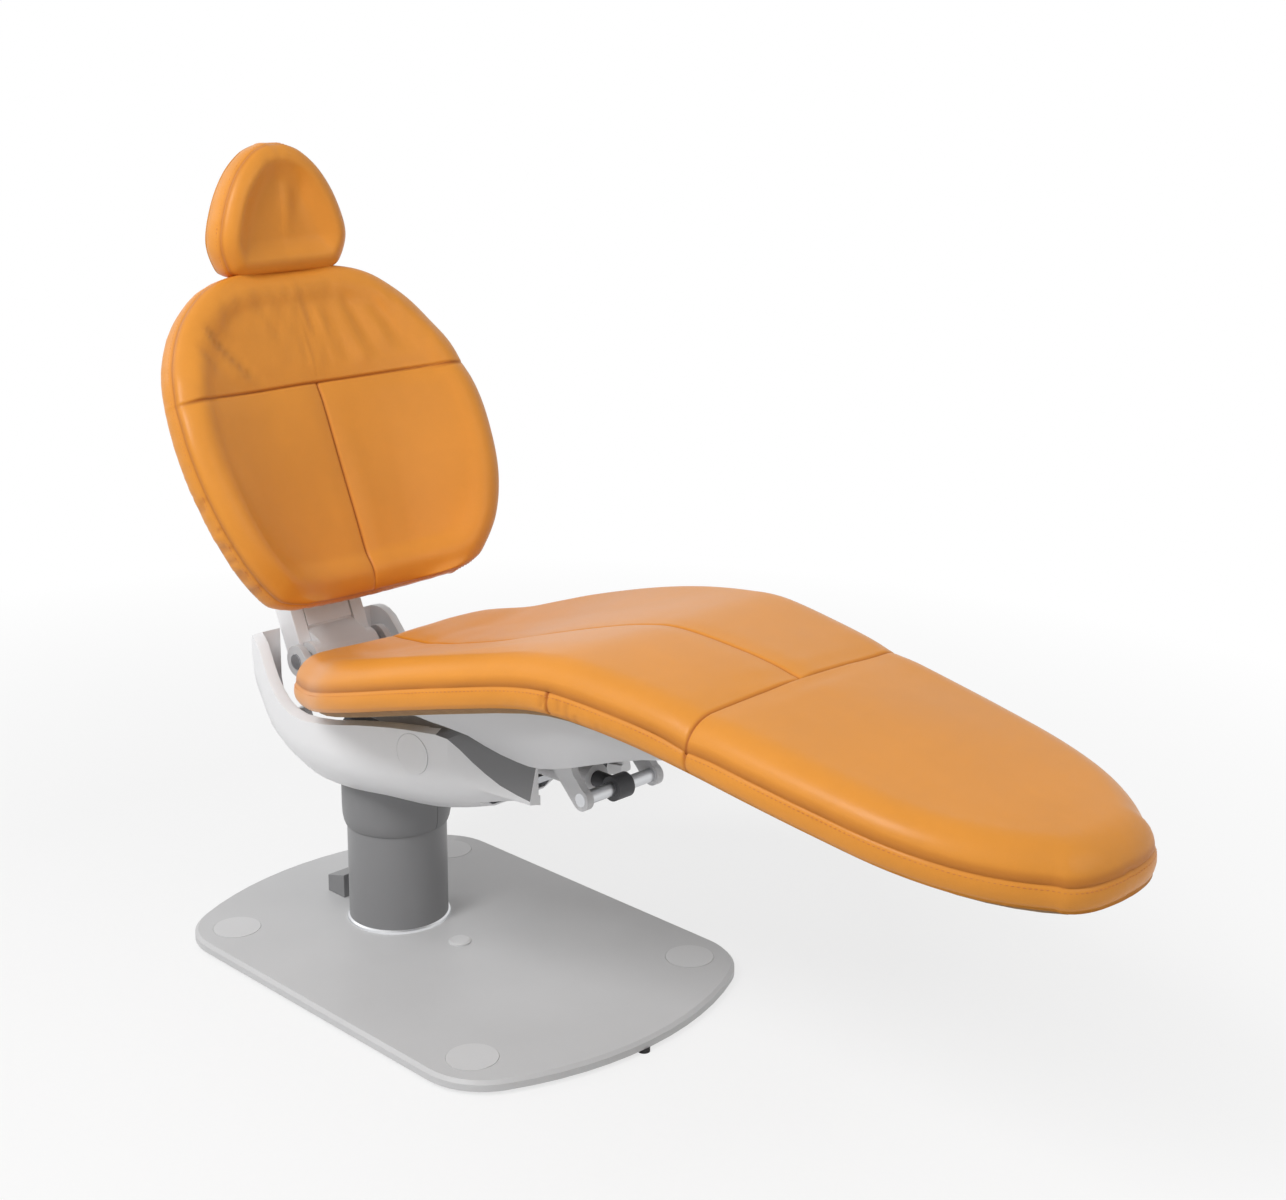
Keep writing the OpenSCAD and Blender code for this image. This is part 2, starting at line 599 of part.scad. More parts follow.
module arm_core() plate_y([[arm_front, arm_top], [arm_front, -25], [hub_n + 18, hub_s + 24], [hub_n + 26, hub_s],
  [hub_n + 8, hub_s - 25], [hub_n - 14, hub_s - 22], [arm_rear, -64], [arm_rear, arm_top]], -46, 46);
module back_arm() color(steel) back_frame() difference() {
  union() {
    arm_core();
    bar_y(hub_n, hub_s, hub_d, -62, 62);
  }
  bar_y(hub_n, hub_s, hinge_d + 2 * slide_gap, -63, 63);
  at_back_bolts() translate([0, 0, arm_rear - 1]) cylinder(d = back_bolt_d + 0.2, h = 60);
}

panel_t = 5;
module arm_panel() color(light) back_frame() difference() {
  translate([arm_front, -44, -22]) cube([panel_t, 88, arm_top + 10]);
  at_back_bolts() translate([0, 0, arm_front - 1]) cylinder(d = back_bolt_d + 0.2, h = 20);
}

rail_front = -156;
module arm_rails() color(light) back_frame() both_sides() difference() {
  plate_y([[rail_front - 4, arm_top], [rail_front, arm_top - 8], [rail_front, -50], [rail_front - 10, -64],
    [arm_rear, -70], [arm_rear - 6, -62], [arm_rear - 6, arm_top - 8], [arm_rear - 2, arm_top]], 46.2, arm_half);
  bar_y(hub_n, hub_s, hub_d + 1, 40, 62.5);
}

slot_gap = 2.6;
lever_in = 16;
lever_t = 10;
lever_tip = lever_h / cos(34) + 8;
module back_lever() color(steel) difference() {
  translate([hinge_x, 0, hinge_z]) rotate([0, lever_rest, 0]) both_sides() difference() {
    union() {
      plate_y([[-22, -14], [22, -14], [18, -lever_tip], [-18, -lever_tip]], lever_in, lever_in + lever_t);
      bar_y(0, -lever_tip, 36, lever_in, lever_in + lever_t);
    }
    bar_y(0, 0, hub_d, lever_in - 1, lever_in + lever_t + 1);
    for (z = [lever_h - 3, lever_tip - 4]) bar_y(0, -z, drive_pin_d + 2 * slot_gap, lever_in - 1, 30);
    translate([-drive_pin_d / 2 - slot_gap, lever_in - 1, -lever_tip + 4])
      cube([drive_pin_d + 2 * slot_gap, lever_t + 2, lever_tip - lever_h - 1]);
  }
  back_frame() arm_core();
}

// Back rows: place up the slope, half width, how far the wings come forward, depth of the shell
back_rows = [
  [3, 182, 37, 132], [19, 206, 39, 136], [66, 242, 50, 146], [130, 268, 55, 150], [202, 282, 52, 150],
  [282, 285, 45, 146], [367, 271, 31, 132], [419, 249, 20, 120], [466, 218, 15, 112], [506, 174, 12, 106],
  [524, 140, 11, 104], [533, 108, 11, 103]];
back_even = smooth_rows(sized(back_rows, [back_l / 533, back_half / 285, 1, 1]), 2);

function back_ring(r) = let (s = r[0], w = r[1], g = r[2], t = back_t) whole_ring([
  [0, 0.14 * w, s], [0.14 * g, 0.38 * w, s], [0.5 * g, 0.64 * w, s], [0.92 * g, 0.84 * w, s], [g, 0.93 * w, s],
  [g - 9, 0.985 * w, s], [g - 28, w, s], [g - 48, 0.985 * w, s], [g - 60, 0.9 * w, s],
  [0.5 * g - t, 0.6 * w, s], [-t, 0.2 * w, s]]);
module back_cushion() color(hide) back_frame() loft([for (r = back_even) back_ring(r)]);

board_w = 100;
back_board_t = 12;
module back_board() color(dark) back_frame() difference() {
  translate([-back_t - soft_gap - back_board_t, -board_w, 30]) cube([back_board_t, 2 * board_w, back_l - 60]);
  at_back_bolts() translate([0, 0, -back_t - 20]) cylinder(d = back_bolt_d + 0.2, h = 40);
}

shell_t = 4;
function shell_ring(r) = let (s = r[0], w = r[1], g = r[2], b = -r[3], e = min(76, 0.48 * w),
    m = 0.42 * b + 0.5 * g - 22) whole_ring([
  [b + shell_t, e, s], [b + 24, e + 11, s], [m, 0.7 * w, s],
  [g - 62.4, 0.9 * w - 5, s], [g - 61.2, 0.9 * w, s], [m - 5, 0.72 * w + 2, s],
  [b + 19, e + 15, s], [b, e + 4, s]]);
module back_shell() color(light) back_frame() difference() {
  loft([for (r = back_even) if (r[0] > 10) shell_ring(r)]);
  at_back_bolts() translate([0, 0, arm_front]) cylinder(d = back_bolt_d + 0.2, h = 40);
}

module back_screws() color(dark) back_frame() at_back_bolts() {
  translate([0, 0, arm_rear]) cylinder(d = back_bolt_d, h = -arm_rear - back_t - 4);
  translate([0, 0, arm_rear - 6]) cylinder(d = back_bolt_d + 8, h = 6);
}

glide_n = -86;
glide_gap = 0.1;
module glide_socket() color(dark) back_frame() difference() {
  translate([-98, -38, 380]) cube([98 - back_t - back_board_t - soft_gap, 76, 110]);
  translate([glide_n - glide_t / 2 - glide_gap, -glide_w / 2 - glide_gap, 370])
    cube([glide_t + 2 * glide_gap, glide_w + 2 * glide_gap, 130]);
}

// ---- headrest -----------------------------------------------------------------------

glide_s0 = 340;
glide_s1 = 640;
module glide_bar() color([0.8, 0.8, 0.82]) back_frame()
  translate([glide_n - glide_t / 2, -glide_w / 2, glide_s0]) cube([glide_t, glide_w, glide_s1 - glide_s0]);

head_hinge_s = 662;
head_pin_d = 12;
ear_in = 18;
ear_t = 10;
module head_yoke() color(light) back_frame() difference() {
  union() {
    translate([glide_n - 13, -ear_in - ear_t - 4, glide_s1 - 28]) cube([26, 2 * (ear_in + ear_t + 4), 28]);
    both_sides() {
      plate_y([[glide_n - 12, glide_s1], [glide_n + 12, glide_s1], [glide_n + 14, head_hinge_s],
        [glide_n - 14, head_hinge_s]], ear_in, ear_in + ear_t);
      bar_y(glide_n, head_hinge_s, 28, ear_in, ear_in + ear_t);
    }
  }
  translate([glide_n - glide_t / 2, -glide_w / 2, glide_s1 - 40]) cube([glide_t, glide_w, 40]);
  bar_y(glide_n, head_hinge_s, head_pin_d, -40, 40);
}

module head_pin() color(steel) back_frame() bar_y(glide_n, head_hinge_s, head_pin_d, -34, 54);

module lock_lever() color(dark) back_frame() difference() {
  union() {
    bar_y(glide_n, head_hinge_s, 30, 30, 46);
    plate_y([[glide_n - 8, head_hinge_s - 12], [glide_n - 8, head_hinge_s + 60], [glide_n - 20, head_hinge_s + 60],
      [glide_n - 14, head_hinge_s]], 34, 42);
  }
  bar_y(glide_n, head_hinge_s, head_pin_d + 2 * slide_gap, 29, 47);
}

head_x = -249;
head_z0 = 1057;
module head_frame() translate([head_x, 0, head_z0]) rotate([0, -head_lean, 0]) children();

// Headrest rows: height, half width, how far the sides come forward
head_rows = [[0, 92, 4], [10, 110, 7], [47, 120, 11], [105, 105, 10], [153, 78, 7], [184, 45, 4], [196, 16, 2]];
head_even = smooth_rows(sized(head_rows, [head_l / 196, head_half / 120, 1]), 3);
function head_ring(r) = let (s = r[0], w = r[1], g = r[2], t = head_t) whole_ring([
  [0, 0.15 * w, s], [0.25 * g, 0.42 * w, s], [0.8 * g, 0.75 * w, s], [g, 0.9 * w, s], [g - 7, 0.98 * w, s],
  [g - 0.4 * t, w, s], [g - 0.8 * t, 0.98 * w, s], [-t, 0.9 * w, s]]);
module head_cushion() color(hide) head_frame() loft([for (r = head_even) head_ring(r)]);

head_shell_t = 9;
module head_shell() color(light) head_frame() loft(turned = true, rings = [for (r = head_even) if (r[0] > 8 && r[0] < head_l - 14)
  let (s = r[0], w = 0.86 * r[1], f = -head_t - soft_gap)
  whole_ring([[f, w, s], [f - 4, w, s], [f - head_shell_t, 0.8 * w, s]])]);

// The headrest's pivot in the headrest's own frame
pivot_world_x = back_x + glide_n * cos(recline) - head_hinge_s * sin(recline);
pivot_world_z = back_z + glide_n * sin(recline) + head_hinge_s * cos(recline);
tilt_n = (pivot_world_x - head_x) * cos(head_lean) + (pivot_world_z - head_z0) * sin(head_lean);
tilt_s = -(pivot_world_x - head_x) * sin(head_lean) + (pivot_world_z - head_z0) * cos(head_lean);
module head_bracket() color(steel) head_frame() difference() {
  union() {
    bar_y(tilt_n, tilt_s, 28, -ear_in + 0.5, ear_in - 0.5);
    plate_y([[tilt_n, tilt_s - 13], [-head_t - head_shell_t - 6, tilt_s - 22], [-head_t - head_shell_t - 6, tilt_s + 22],
      [tilt_n, tilt_s + 13]], -ear_in + 0.5, ear_in - 0.5);
    translate([-head_t - head_shell_t - soft_gap - 6, -42, tilt_s - 32]) cube([6, 84, 64]);
  }
  bar_y(tilt_n, tilt_s, head_pin_d + 2 * slide_gap, -ear_in, ear_in);
}

// ---- which sub-part to draw -----------------------------------------------------------

base_plate();
anchor_caps();
centre_cap();
levelling_feet();
floor_pad();
cable_entry();
column_ring();
column_tube();
column_bush();
ram_barrel();
mid_tube();
mid_bush();
ram_sleeve();
inner_column();
ram_plunger();
carriage_frame();
carriage_bolts();
collar_left();
collar_right();
housing();
side_caps();
pivot_pins();
power_unit();
control_box();
jack_body();
jack_rod();
seat_frame();
seat_cross();
seat_shell();
seat_board();
seat_cushion();
leg_supports();
seat_screws();
lever_arms();
cross_bar();
drive_eye();
drive_barrel();
drive_motor();
hinge_pin();
drive_rod();
back_arm();
arm_panel();
arm_rails();
back_lever();
back_shell();
back_board();
back_cushion();
back_screws();
glide_socket();
glide_bar();
head_yoke();
head_pin();
head_bracket();
head_shell();
head_cushion();
lock_lever();
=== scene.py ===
"""Dental patient chair: upholstery, shells, painted metal and the studio stage."""

import json
import math

import bmesh
import bpy
import numpy as np
from bpy.props import FloatProperty, FloatVectorProperty, PointerProperty
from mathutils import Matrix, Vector, noise


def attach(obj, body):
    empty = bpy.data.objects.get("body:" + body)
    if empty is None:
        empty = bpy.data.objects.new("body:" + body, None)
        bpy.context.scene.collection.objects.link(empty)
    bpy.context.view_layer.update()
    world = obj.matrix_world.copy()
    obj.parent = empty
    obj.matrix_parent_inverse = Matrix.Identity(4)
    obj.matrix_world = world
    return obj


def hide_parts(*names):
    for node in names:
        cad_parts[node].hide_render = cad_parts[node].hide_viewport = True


bl_info = {
    "name": "Dental Patient Chair",
    "version": (1, 0, 0),
    "blender": (4, 5, 0),
    "location": "View3D > Sidebar > Chair",
    "description": "Builds the upholstery, shells, finishes and stage of a dental patient chair",
    "category": "Object",
}

MM = 0.001

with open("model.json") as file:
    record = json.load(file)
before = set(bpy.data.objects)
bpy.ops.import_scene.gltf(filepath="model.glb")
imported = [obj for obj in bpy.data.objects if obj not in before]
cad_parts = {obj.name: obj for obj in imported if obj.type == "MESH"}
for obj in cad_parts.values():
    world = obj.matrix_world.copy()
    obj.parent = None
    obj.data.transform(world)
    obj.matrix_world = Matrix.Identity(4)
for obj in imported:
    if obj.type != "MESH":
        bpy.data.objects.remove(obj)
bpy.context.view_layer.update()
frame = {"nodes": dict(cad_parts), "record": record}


# ---- settings ---------------------------------------------------------------------


def colour(name, text, value):
    return FloatVectorProperty(
        name=name, description=text, default=value, subtype="COLOR", size=3, min=0, max=1
    )


def length(name, text, value):
    return FloatProperty(name=name, description=text, default=value, unit="LENGTH", min=0)


def power(name, text, value):
    return FloatProperty(name=name, description=text, default=value, subtype="POWER", min=0)


class UpholsterySettings(bpy.types.PropertyGroup):
    """Colours and sizes of the leather cushions."""

    hide: colour("Leather", "Colour of the leather", (0.77, 0.30, 0.040))
    # The crease colour is painted shade: the tone the leather is darkened to in seams, creases and
    # under the pads.
    shade: colour("Crease", "Colour of the leather in its folds and seams", (0.36, 0.09, 0.014))
    thread: colour("Thread", "Colour of the sewing thread", (0.50, 0.17, 0.04))
    grain: length("Grain", "Width of one pebble of the leather's grain", 0.0011)
    seam: length("Seam depth", "How far a sewn seam pulls in", 0.0034)
    stitch: length("Stitch", "Length of one stitch", 0.0042)


class FinishSettings(bpy.types.PropertyGroup):
    """Colours of the shells and the metal."""

    shell: colour("White shell", "Colour of the moulded white shells", (0.84, 0.84, 0.85))
    lower: colour(
        "Grey shell", "Colour of the moulded grey shell under the seat", (0.62, 0.62, 0.63)
    )
    paint: colour("Paint", "Colour of the powder coat on the plate", (0.60, 0.60, 0.605))
    # The column's coat is a darker copy of the powder coat: painted shade for the seat's shadow on
    # the column and collars.
    column_coat_and_shade: colour("Column paint", "Colour of the powder coat on the column", (0.23, 0.23, 0.235))
    edge: length("Soft edge", "Width of the rounding on moulded and painted edges", 0.0012)


class StageSettings(bpy.types.PropertyGroup):
    """Strength of the studio light."""

    key: power("Key", "Power of the main soft light", 104)
    fill: power("Fill", "Power of the fill light, which the side light follows", 14)
    ambient: FloatProperty(
        name="Ambient", description="Strength of the even light", default=0.38, min=0
    )


# ---- materials --------------------------------------------------------------------


class Signal:
    """A value inside a material. Sums on it add their Math nodes."""

    def __init__(self, board, socket):
        self.board = board
        self.socket = socket

    def sum(self, operation, first, second):
        return self.board.add("ShaderNodeMath", {"operation": operation}, {0: first, 1: second})

    def __add__(self, other):
        return self.sum("ADD", self, other)

    __radd__ = __add__

    def __mul__(self, other):
        return self.sum("MULTIPLY", self, other)

    __rmul__ = __mul__

    def __sub__(self, other):
        return self.sum("SUBTRACT", self, other)

    def __rsub__(self, other):
        return self.sum("SUBTRACT", other, self)

    def most(self, other):
        return self.sum("MAXIMUM", self, other)


class Board:
    """A node tree and the one method that adds nodes to it."""

    def __init__(self, tree, output):
        self.tree = tree
        self.tree.nodes.clear()
        self.output = self.tree.nodes.new(output)

    def feed(self, socket, value):
        if isinstance(value, Signal):
            self.tree.links.new(value.socket, socket)
        elif hasattr(value, "__len__") and socket.type == "RGBA" and len(value) == 3:
            socket.default_value = (*value, 1)
        else:
            socket.default_value = value

    def add(self, kind, settings=None, values=None, out=0):
        node = self.tree.nodes.new(kind)
        for key, value in (settings or {}).items():
            if key == "stops":
                self.set_stops(node.color_ramp.elements, value)
            else:
                setattr(node, key, value)
        for key, value in (values or {}).items():
            self.feed(node.inputs[key], value)
        return Signal(self, node.outputs[out])

    def set_stops(self, elements, stops):
        while len(elements) < len(stops):
            elements.new(0.5)
        for element, (place, level) in zip(elements, stops):
            element.position = place
            element.color = (level, level, level, 1)

    def show(self, surface):
        self.feed(self.output.inputs["Surface"], surface)

    def seen(self):
        """1 for a ray from the camera, or one that a glossy or clear surface sends on."""
        camera, glossy, clear = (
            self.add("ShaderNodeLightPath", out=ray)
            for ray in ("Is Camera Ray", "Is Glossy Ray", "Is Transmission Ray")
        )
        return camera.most(glossy).most(clear)


class Finish(Board):
    """The material of one kind of surface."""

    def __init__(self, name, **values):
        self.material = bpy.data.materials.new(name)
        self.material.use_nodes = True
        super().__init__(self.material.node_tree, "ShaderNodeOutputMaterial")
        self.shader = self.tree.nodes.new("ShaderNodeBsdfPrincipled")
        self.surface = Signal(self, self.shader.outputs[0])
        self.show(self.surface)
        self.set(**values)
        self.place = self.add("ShaderNodeTexCoord", out="Object")

    def set(self, **values):
        for key, value in values.items():
            self.feed(self.shader.inputs[key.replace("_", " ")], value)

    def cloud(self, scale, detail=3.0, rough=0.5, place=None):
        return self.add(
            "ShaderNodeTexNoise",
            values={
                "Vector": place or self.place,
                "Scale": scale,
                "Detail": detail,
                "Roughness": rough,
            },
        )

    def stretched(self, factors):
        return self.add("ShaderNodeMapping", values={"Vector": self.place, "Scale": factors})

    def ramp(self, value, *stops):
        return self.add("ShaderNodeValToRGB", {"stops": stops}, {0: value})

    def blend(self, share, first, second):
        settings = {"data_type": "RGBA", "clamp_factor": True}
        return self.add("ShaderNodeMix", settings, {0: share, 6: first, 7: second}, out=2)

    def bump(self, height, depth, strength=1.0):
        values = {"Height": height, "Distance": depth, "Strength": strength}
        self.set(Normal=self.add("ShaderNodeBump", values=values))

    def edges(self):
        """1 on outer edges and 0 on flat ground and in hollows."""
        worn = self.add("ShaderNodeNewGeometry", out="Pointiness")
        return self.ramp(worn, (0.53, 0.0), (0.60, 1.0))


def tinted(tint, share):
    """A colour made darker or lighter."""
    return [min(1, c * share) for c in tint]


def leather(name):
    """Smooth satin leather: fine pebbles, soft mottling, painted shade and a duller finish in its
    folds and seams.
    """
    s = bpy.context.scene.chair_upholstery
    f = Finish(name, Specular_IOR_Level=0.2, Coat_Roughness=0.3)
    fold = f.add("ShaderNodeAttribute", {"attribute_name": "fold"}, out="Fac")
    mottle = f.ramp(f.cloud(5.5, 4), (0.32, 0.0), (0.7, 1.0))
    base = f.blend(mottle, tinted(s.hide, 0.95), tinted(s.hide, 1.03))
    pebble = f.add(
        "ShaderNodeTexVoronoi",
        {"feature": "DISTANCE_TO_EDGE"},
        {"Vector": f.place, "Scale": 1 / s.grain, "Randomness": 0.95},
    )
    pore = f.ramp(pebble, (0.0, 0.0), (0.09, 1.0))
    base = f.blend((1 - pore) * 0.16, base, tinted(s.hide, 0.5))
    worn = f.ramp(f.cloud(34, 5, 0.6), (0.45, 0.0), (0.8, 1.0))
    base = f.blend(worn * 0.10, base, tinted(s.hide, 1.25))
    # Painted shade: darkens the leather towards the crease colour in seams, creases, gather valleys
    # and on the pads' backs.
    base = f.blend(fold * 0.85, base, list(s.shade))
    crinkle = f.cloud(150, 3, 0.6)
    f.set(
        Base_Color=base,
        Roughness=0.30 + mottle * 0.05 + (1 - pore) * 0.07 + fold * 0.15,
        Coat_Weight=0.1 - fold * 0.1,
    )
    f.bump(pore * 0.5 + crinkle * 0.6, 0.00022, 0.5)
    return f.material


def thread():
    """Sewing thread, lighter where its plies catch the light."""
    s = bpy.context.scene.chair_upholstery
    f = Finish("sewing-thread")
    ply = f.cloud(2600, 2, place=f.stretched((1, 3, 3)))
    f.set(
        Base_Color=f.blend(ply, list(s.thread), tinted(s.thread, 1.5)),
        Roughness=0.6 + ply * 0.15,
    )
    f.bump(ply, 0.0002, 0.5)
    return f.material


def moulded(name, tint, rough):
    """Moulded plastic shell: faint swirl, satin skin, edges rubbed a little smoother."""
    f = Finish(name, Specular_IOR_Level=0.5, Coat_Roughness=0.2)
    swirl = f.ramp(f.cloud(3.2, 3), (0.3, 0.0), (0.75, 1.0))
    skin = f.cloud(900, 2)
    base = f.blend(swirl, tinted(tint, 0.965), list(tint))
    edge = f.edges()
    base = f.blend(edge * 0.35, base, tinted(tint, 1.08))
    f.set(
        Base_Color=base,
        Roughness=rough + skin * 0.06 - edge * 0.06,
        Coat_Weight=0.12 + swirl * 0.05,
    )
    f.bump(skin, 0.00006, 0.4)
    return f.material


def painted(name, tint, rough=0.42):
    """Powder coat on steel: orange-peel skin, fine speckle and lightly rubbed edges."""
    f = Finish(name, Specular_IOR_Level=0.45)
    peel = f.cloud(420, 3, 0.55)
    speck = f.ramp(f.cloud(1900, 2), (0.38, 0.0), (0.62, 1.0))
    tone = f.ramp(f.cloud(4, 4), (0.3, 0.0), (0.75, 1.0))
    base = f.blend(tone, tinted(tint, 0.95), tinted(tint, 1.03))
    base = f.blend(speck * 0.12, base, tinted(tint, 0.82))
    edge = f.edges()
    base = f.blend(edge * 0.4, base, tinted(tint, 1.22))
    f.set(Base_Color=base, Roughness=rough + peel * 0.1 - edge * 0.08)
    f.bump(peel * 0.8 + speck * 0.2, 0.00018, 0.4)
    return f.material


def metal(name, tint, rough):
    """Bare steel: turned or brushed lines, smudges and brighter rubbed edges."""
    f = Finish(name, Metallic=1.0)
    place = f.stretched((60, 900, 60))
    line = f.cloud(1.0, 4, 0.6, place)
    smudge = f.ramp(f.cloud(18, 4), (0.35, 0.0), (0.7, 1.0))
    base = f.blend(smudge, tinted(tint, 0.9), list(tint))
    base = f.blend(line * 0.25, base, tinted(tint, 0.8))
    f.set(Base_Color=base, Roughness=rough + line * 0.1 + smudge * 0.08)
    f.bump(line, 0.00004, 0.4)
    return f.material


def rubber():
    """Matt black rubber with a little dust on it."""
    f = Finish("rubber", Specular_IOR_Level=0.25)
    dust = f.ramp(f.cloud(60, 4), (0.4, 0.0), (0.75, 1.0))
    skin = f.cloud(1500, 2)
    base = f.blend(dust * 0.6, (0.03, 0.03, 0.032), (0.07, 0.068, 0.065))
    f.set(Base_Color=base, Roughness=0.72 + dust * 0.12)
    f.bump(skin, 0.0001, 0.5)
    return f.material


def matt_plastic():
    """Dark moulded plastic with a fine spark-eroded skin."""
    f = Finish("dark-plastic", Specular_IOR_Level=0.4)
    spark = f.cloud(1300, 2)
    tone = f.cloud(9, 3)
    base = f.blend(tone, (0.05, 0.052, 0.056), (0.085, 0.087, 0.092))
    f.set(Base_Color=base, Roughness=0.5 + spark * 0.15)
    f.bump(spark, 0.0002, 0.5)
    return f.material


def plywood():
    """Raw board: long fibres, and plies that show at its edges."""
    f = Finish("plywood", Specular_IOR_Level=0.3)
    ply = f.add(
        "ShaderNodeTexWave",
        {"bands_direction": "Z"},
        {"Vector": f.place, "Scale": 140.0, "Distortion": 0.6, "Detail": 2.0},
    )
    fibre = f.cloud(1.0, 5, 0.65, f.stretched((14, 260, 260)))
    base = f.blend(fibre, (0.30, 0.19, 0.10), (0.50, 0.36, 0.21))
    base = f.blend(ply * 0.3, base, (0.2, 0.12, 0.06))
    f.set(Base_Color=base, Roughness=0.62 + fibre * 0.15)
    f.bump(fibre, 0.0003, 0.4)
    return f.material


# ---- shaping ----------------------------------------------------------------------
# Pads are worked out in millimetres, and MM turns them into metres.

# Shares of the half width at which a pad's rows of points lie, close together at its
# middle seam and its edge.
ACROSS = np.array(
    [0, 0.005, 0.011, 0.018, 0.028, 0.045, 0.07, 0.1, 0.14, 0.18, 0.23, 0.28, 0.33, 0.38, 0.43]
    + [0.48, 0.53, 0.58, 0.63, 0.68, 0.73, 0.77, 0.81, 0.845, 0.875, 0.9, 0.92, 0.938, 0.953]
    + [0.966, 0.977, 0.986, 0.993, 1.0]
)
# Places near a pad's ends and at a cross seam, and shares of the way down its side band.
ENDS = np.array([0, 0.5, 1.4, 2.8, 4.6, 7, 10, 13.5, 17.5, 22, 27, 33])
AT_SEAM = (-8, -5.5, -3.6, -2.2, -1.1, 0, 1.1, 2.2, 3.6, 5.5, 8)
BAND = np.array([0.0, 0.035, 0.08, 0.15, 0.25, 0.37, 0.5, 0.63, 0.75, 0.85, 0.93, 1.0])

UNDERSIDE = 0.985  # width of a pad's back as a share of its face
SEAM_WIDTH = 1.8  # half width of the painted shade line along a sewn seam
MERGE = 2e-5  # points of a pad nearer than this, in metres, are one

STITCH_PITCH = 6.4
STITCH_SHARE = 0.2  # how far down the side band the stitches lie
STITCH_RADIUS = 0.62
STITCH_ARCH = 0.35
STITCH_SHAPE = ((0, 0.15), (0.18, 0.75), (0.5, 0.95), (0.82, 0.75), (1, 0.15))
STITCH_SIDES = 6


def smooth_rows(rows, count=14):
    """Rows with more added between them on a smooth curve."""
    rows = [np.array(r, float) for r in rows]
    last = len(rows) - 1
    made = []
    for i in range(last):
        p0, p1, p2, p3 = (rows[max(i - 1, 0)], rows[i], rows[i + 1], rows[min(i + 2, last)])
        for k in range(count):
            t = k / count
            linear = 2 * p1 + (p2 - p0) * t
            square = (2 * p0 - 5 * p1 + 4 * p2 - p3) * t * t
            cubic = (3 * p1 - p0 - 3 * p2 + p3) * t**3
            made.append(0.5 * (linear + square + cubic))
    return np.array([*made, rows[last]])


def column(rows, k):
    """The k-th value of the rows at any place along a pad."""
    return lambda place: np.interp(place, rows[:, 0], rows[:, k])


def hump(distance, width):
    return np.exp(-((distance / width) ** 2))


def soft_step(value, start, end):
    t = np.clip((value - start) / (end - start), 0, 1)
    return t * t * (3 - 2 * t)


def ripple(u, v, seed):
    """Smooth seeded unevenness, about -1 to 1, at each pair of places."""
    u, v = np.broadcast_arrays(u, v)
    flat = [noise.noise(Vector((a, b, seed))) for a, b in zip(np.ravel(u), np.ravel(v))]
    return np.reshape(np.array(flat), np.shape(u)) * 1.6


def fold_line(u, v, start, end, width, height):
    """A ridge beside a valley along a line, fading out at its ends."""
    a, b = np.array(start, float), np.array(end, float)
    d = b - a
    size = math.hypot(*d)
    along = ((u - a[0]) * d[0] + (v - a[1]) * d[1]) / size
    across = ((u - a[0]) * -d[1] + (v - a[1]) * d[0]) / size
    fade = soft_step(along, -12, 22) * (1 - soft_step(along, size - 22, size + 12))
    ridge, valley = hump(across - width * 0.55, width), hump(across + width * 0.55, width)
    return height * fade * (ridge - 1.1 * valley)


def puffed(share, swell, reach, pinch, pinched):
    """How far a side band swells out, with a pinch at the seam at its top."""
    bulge = swell * math.sin(math.pi * min(1, share * reach))
    return bulge - pinch * math.exp(-((share / pinched) ** 2))


def tucked(share, depth, start):
    """How far a side band is pulled in towards the shell below it."""
    return -depth * max(0, (share - start) / (1 - start)) ** 2


def to_outline(u, v, outline):
    """Distance from each point to the closest edge of a closed outline."""
    a = outline
    d = np.roll(outline, -1, axis=0) - a
    size = np.maximum((d * d).sum(1), 1e-9)
    points = np.stack([np.ravel(u), np.ravel(v)], 1)
    best = np.full(len(points), 1e9)
    for i in range(len(a)):
        r = points - a[i]
        t = np.clip((r @ d[i]) / size[i], 0, 1)
        best = np.minimum(best, np.hypot(*(r - t[:, None] * d[i]).T))
    return best.reshape(np.shape(u))


def stations(first, last, pitch, seams=()):
    """Places along a pad, close together at its ends and at its cross seams."""
    places = [*(first + ENDS), *(last - ENDS), *np.arange(first + 38, last - 36, pitch)]
    for seam in seams:
        places = [p for p in places if abs(p - seam) > AT_SEAM[-1]]
        places += [seam + k for k in AT_SEAM]
    return np.array(sorted(set(round(float(p), 3) for p in places)))


def upright(along, across, out):
    """Places a point of a pad that lies in the frame's own axes."""
    return along, across, out


def tilted(x0, z0, degrees):
    """Places a point of a leaning pad: height up the slope, across, out of its face."""
    c, s = math.cos(math.radians(degrees)), math.sin(math.radians(degrees))
    return lambda up, across, out: (x0 + out * c - up * s, across, z0 + out * s + up * c)


def put(name, data):
    """An object in the scene."""
    made = bpy.data.objects.new(name, data)
    bpy.context.scene.collection.objects.link(made)
    return made


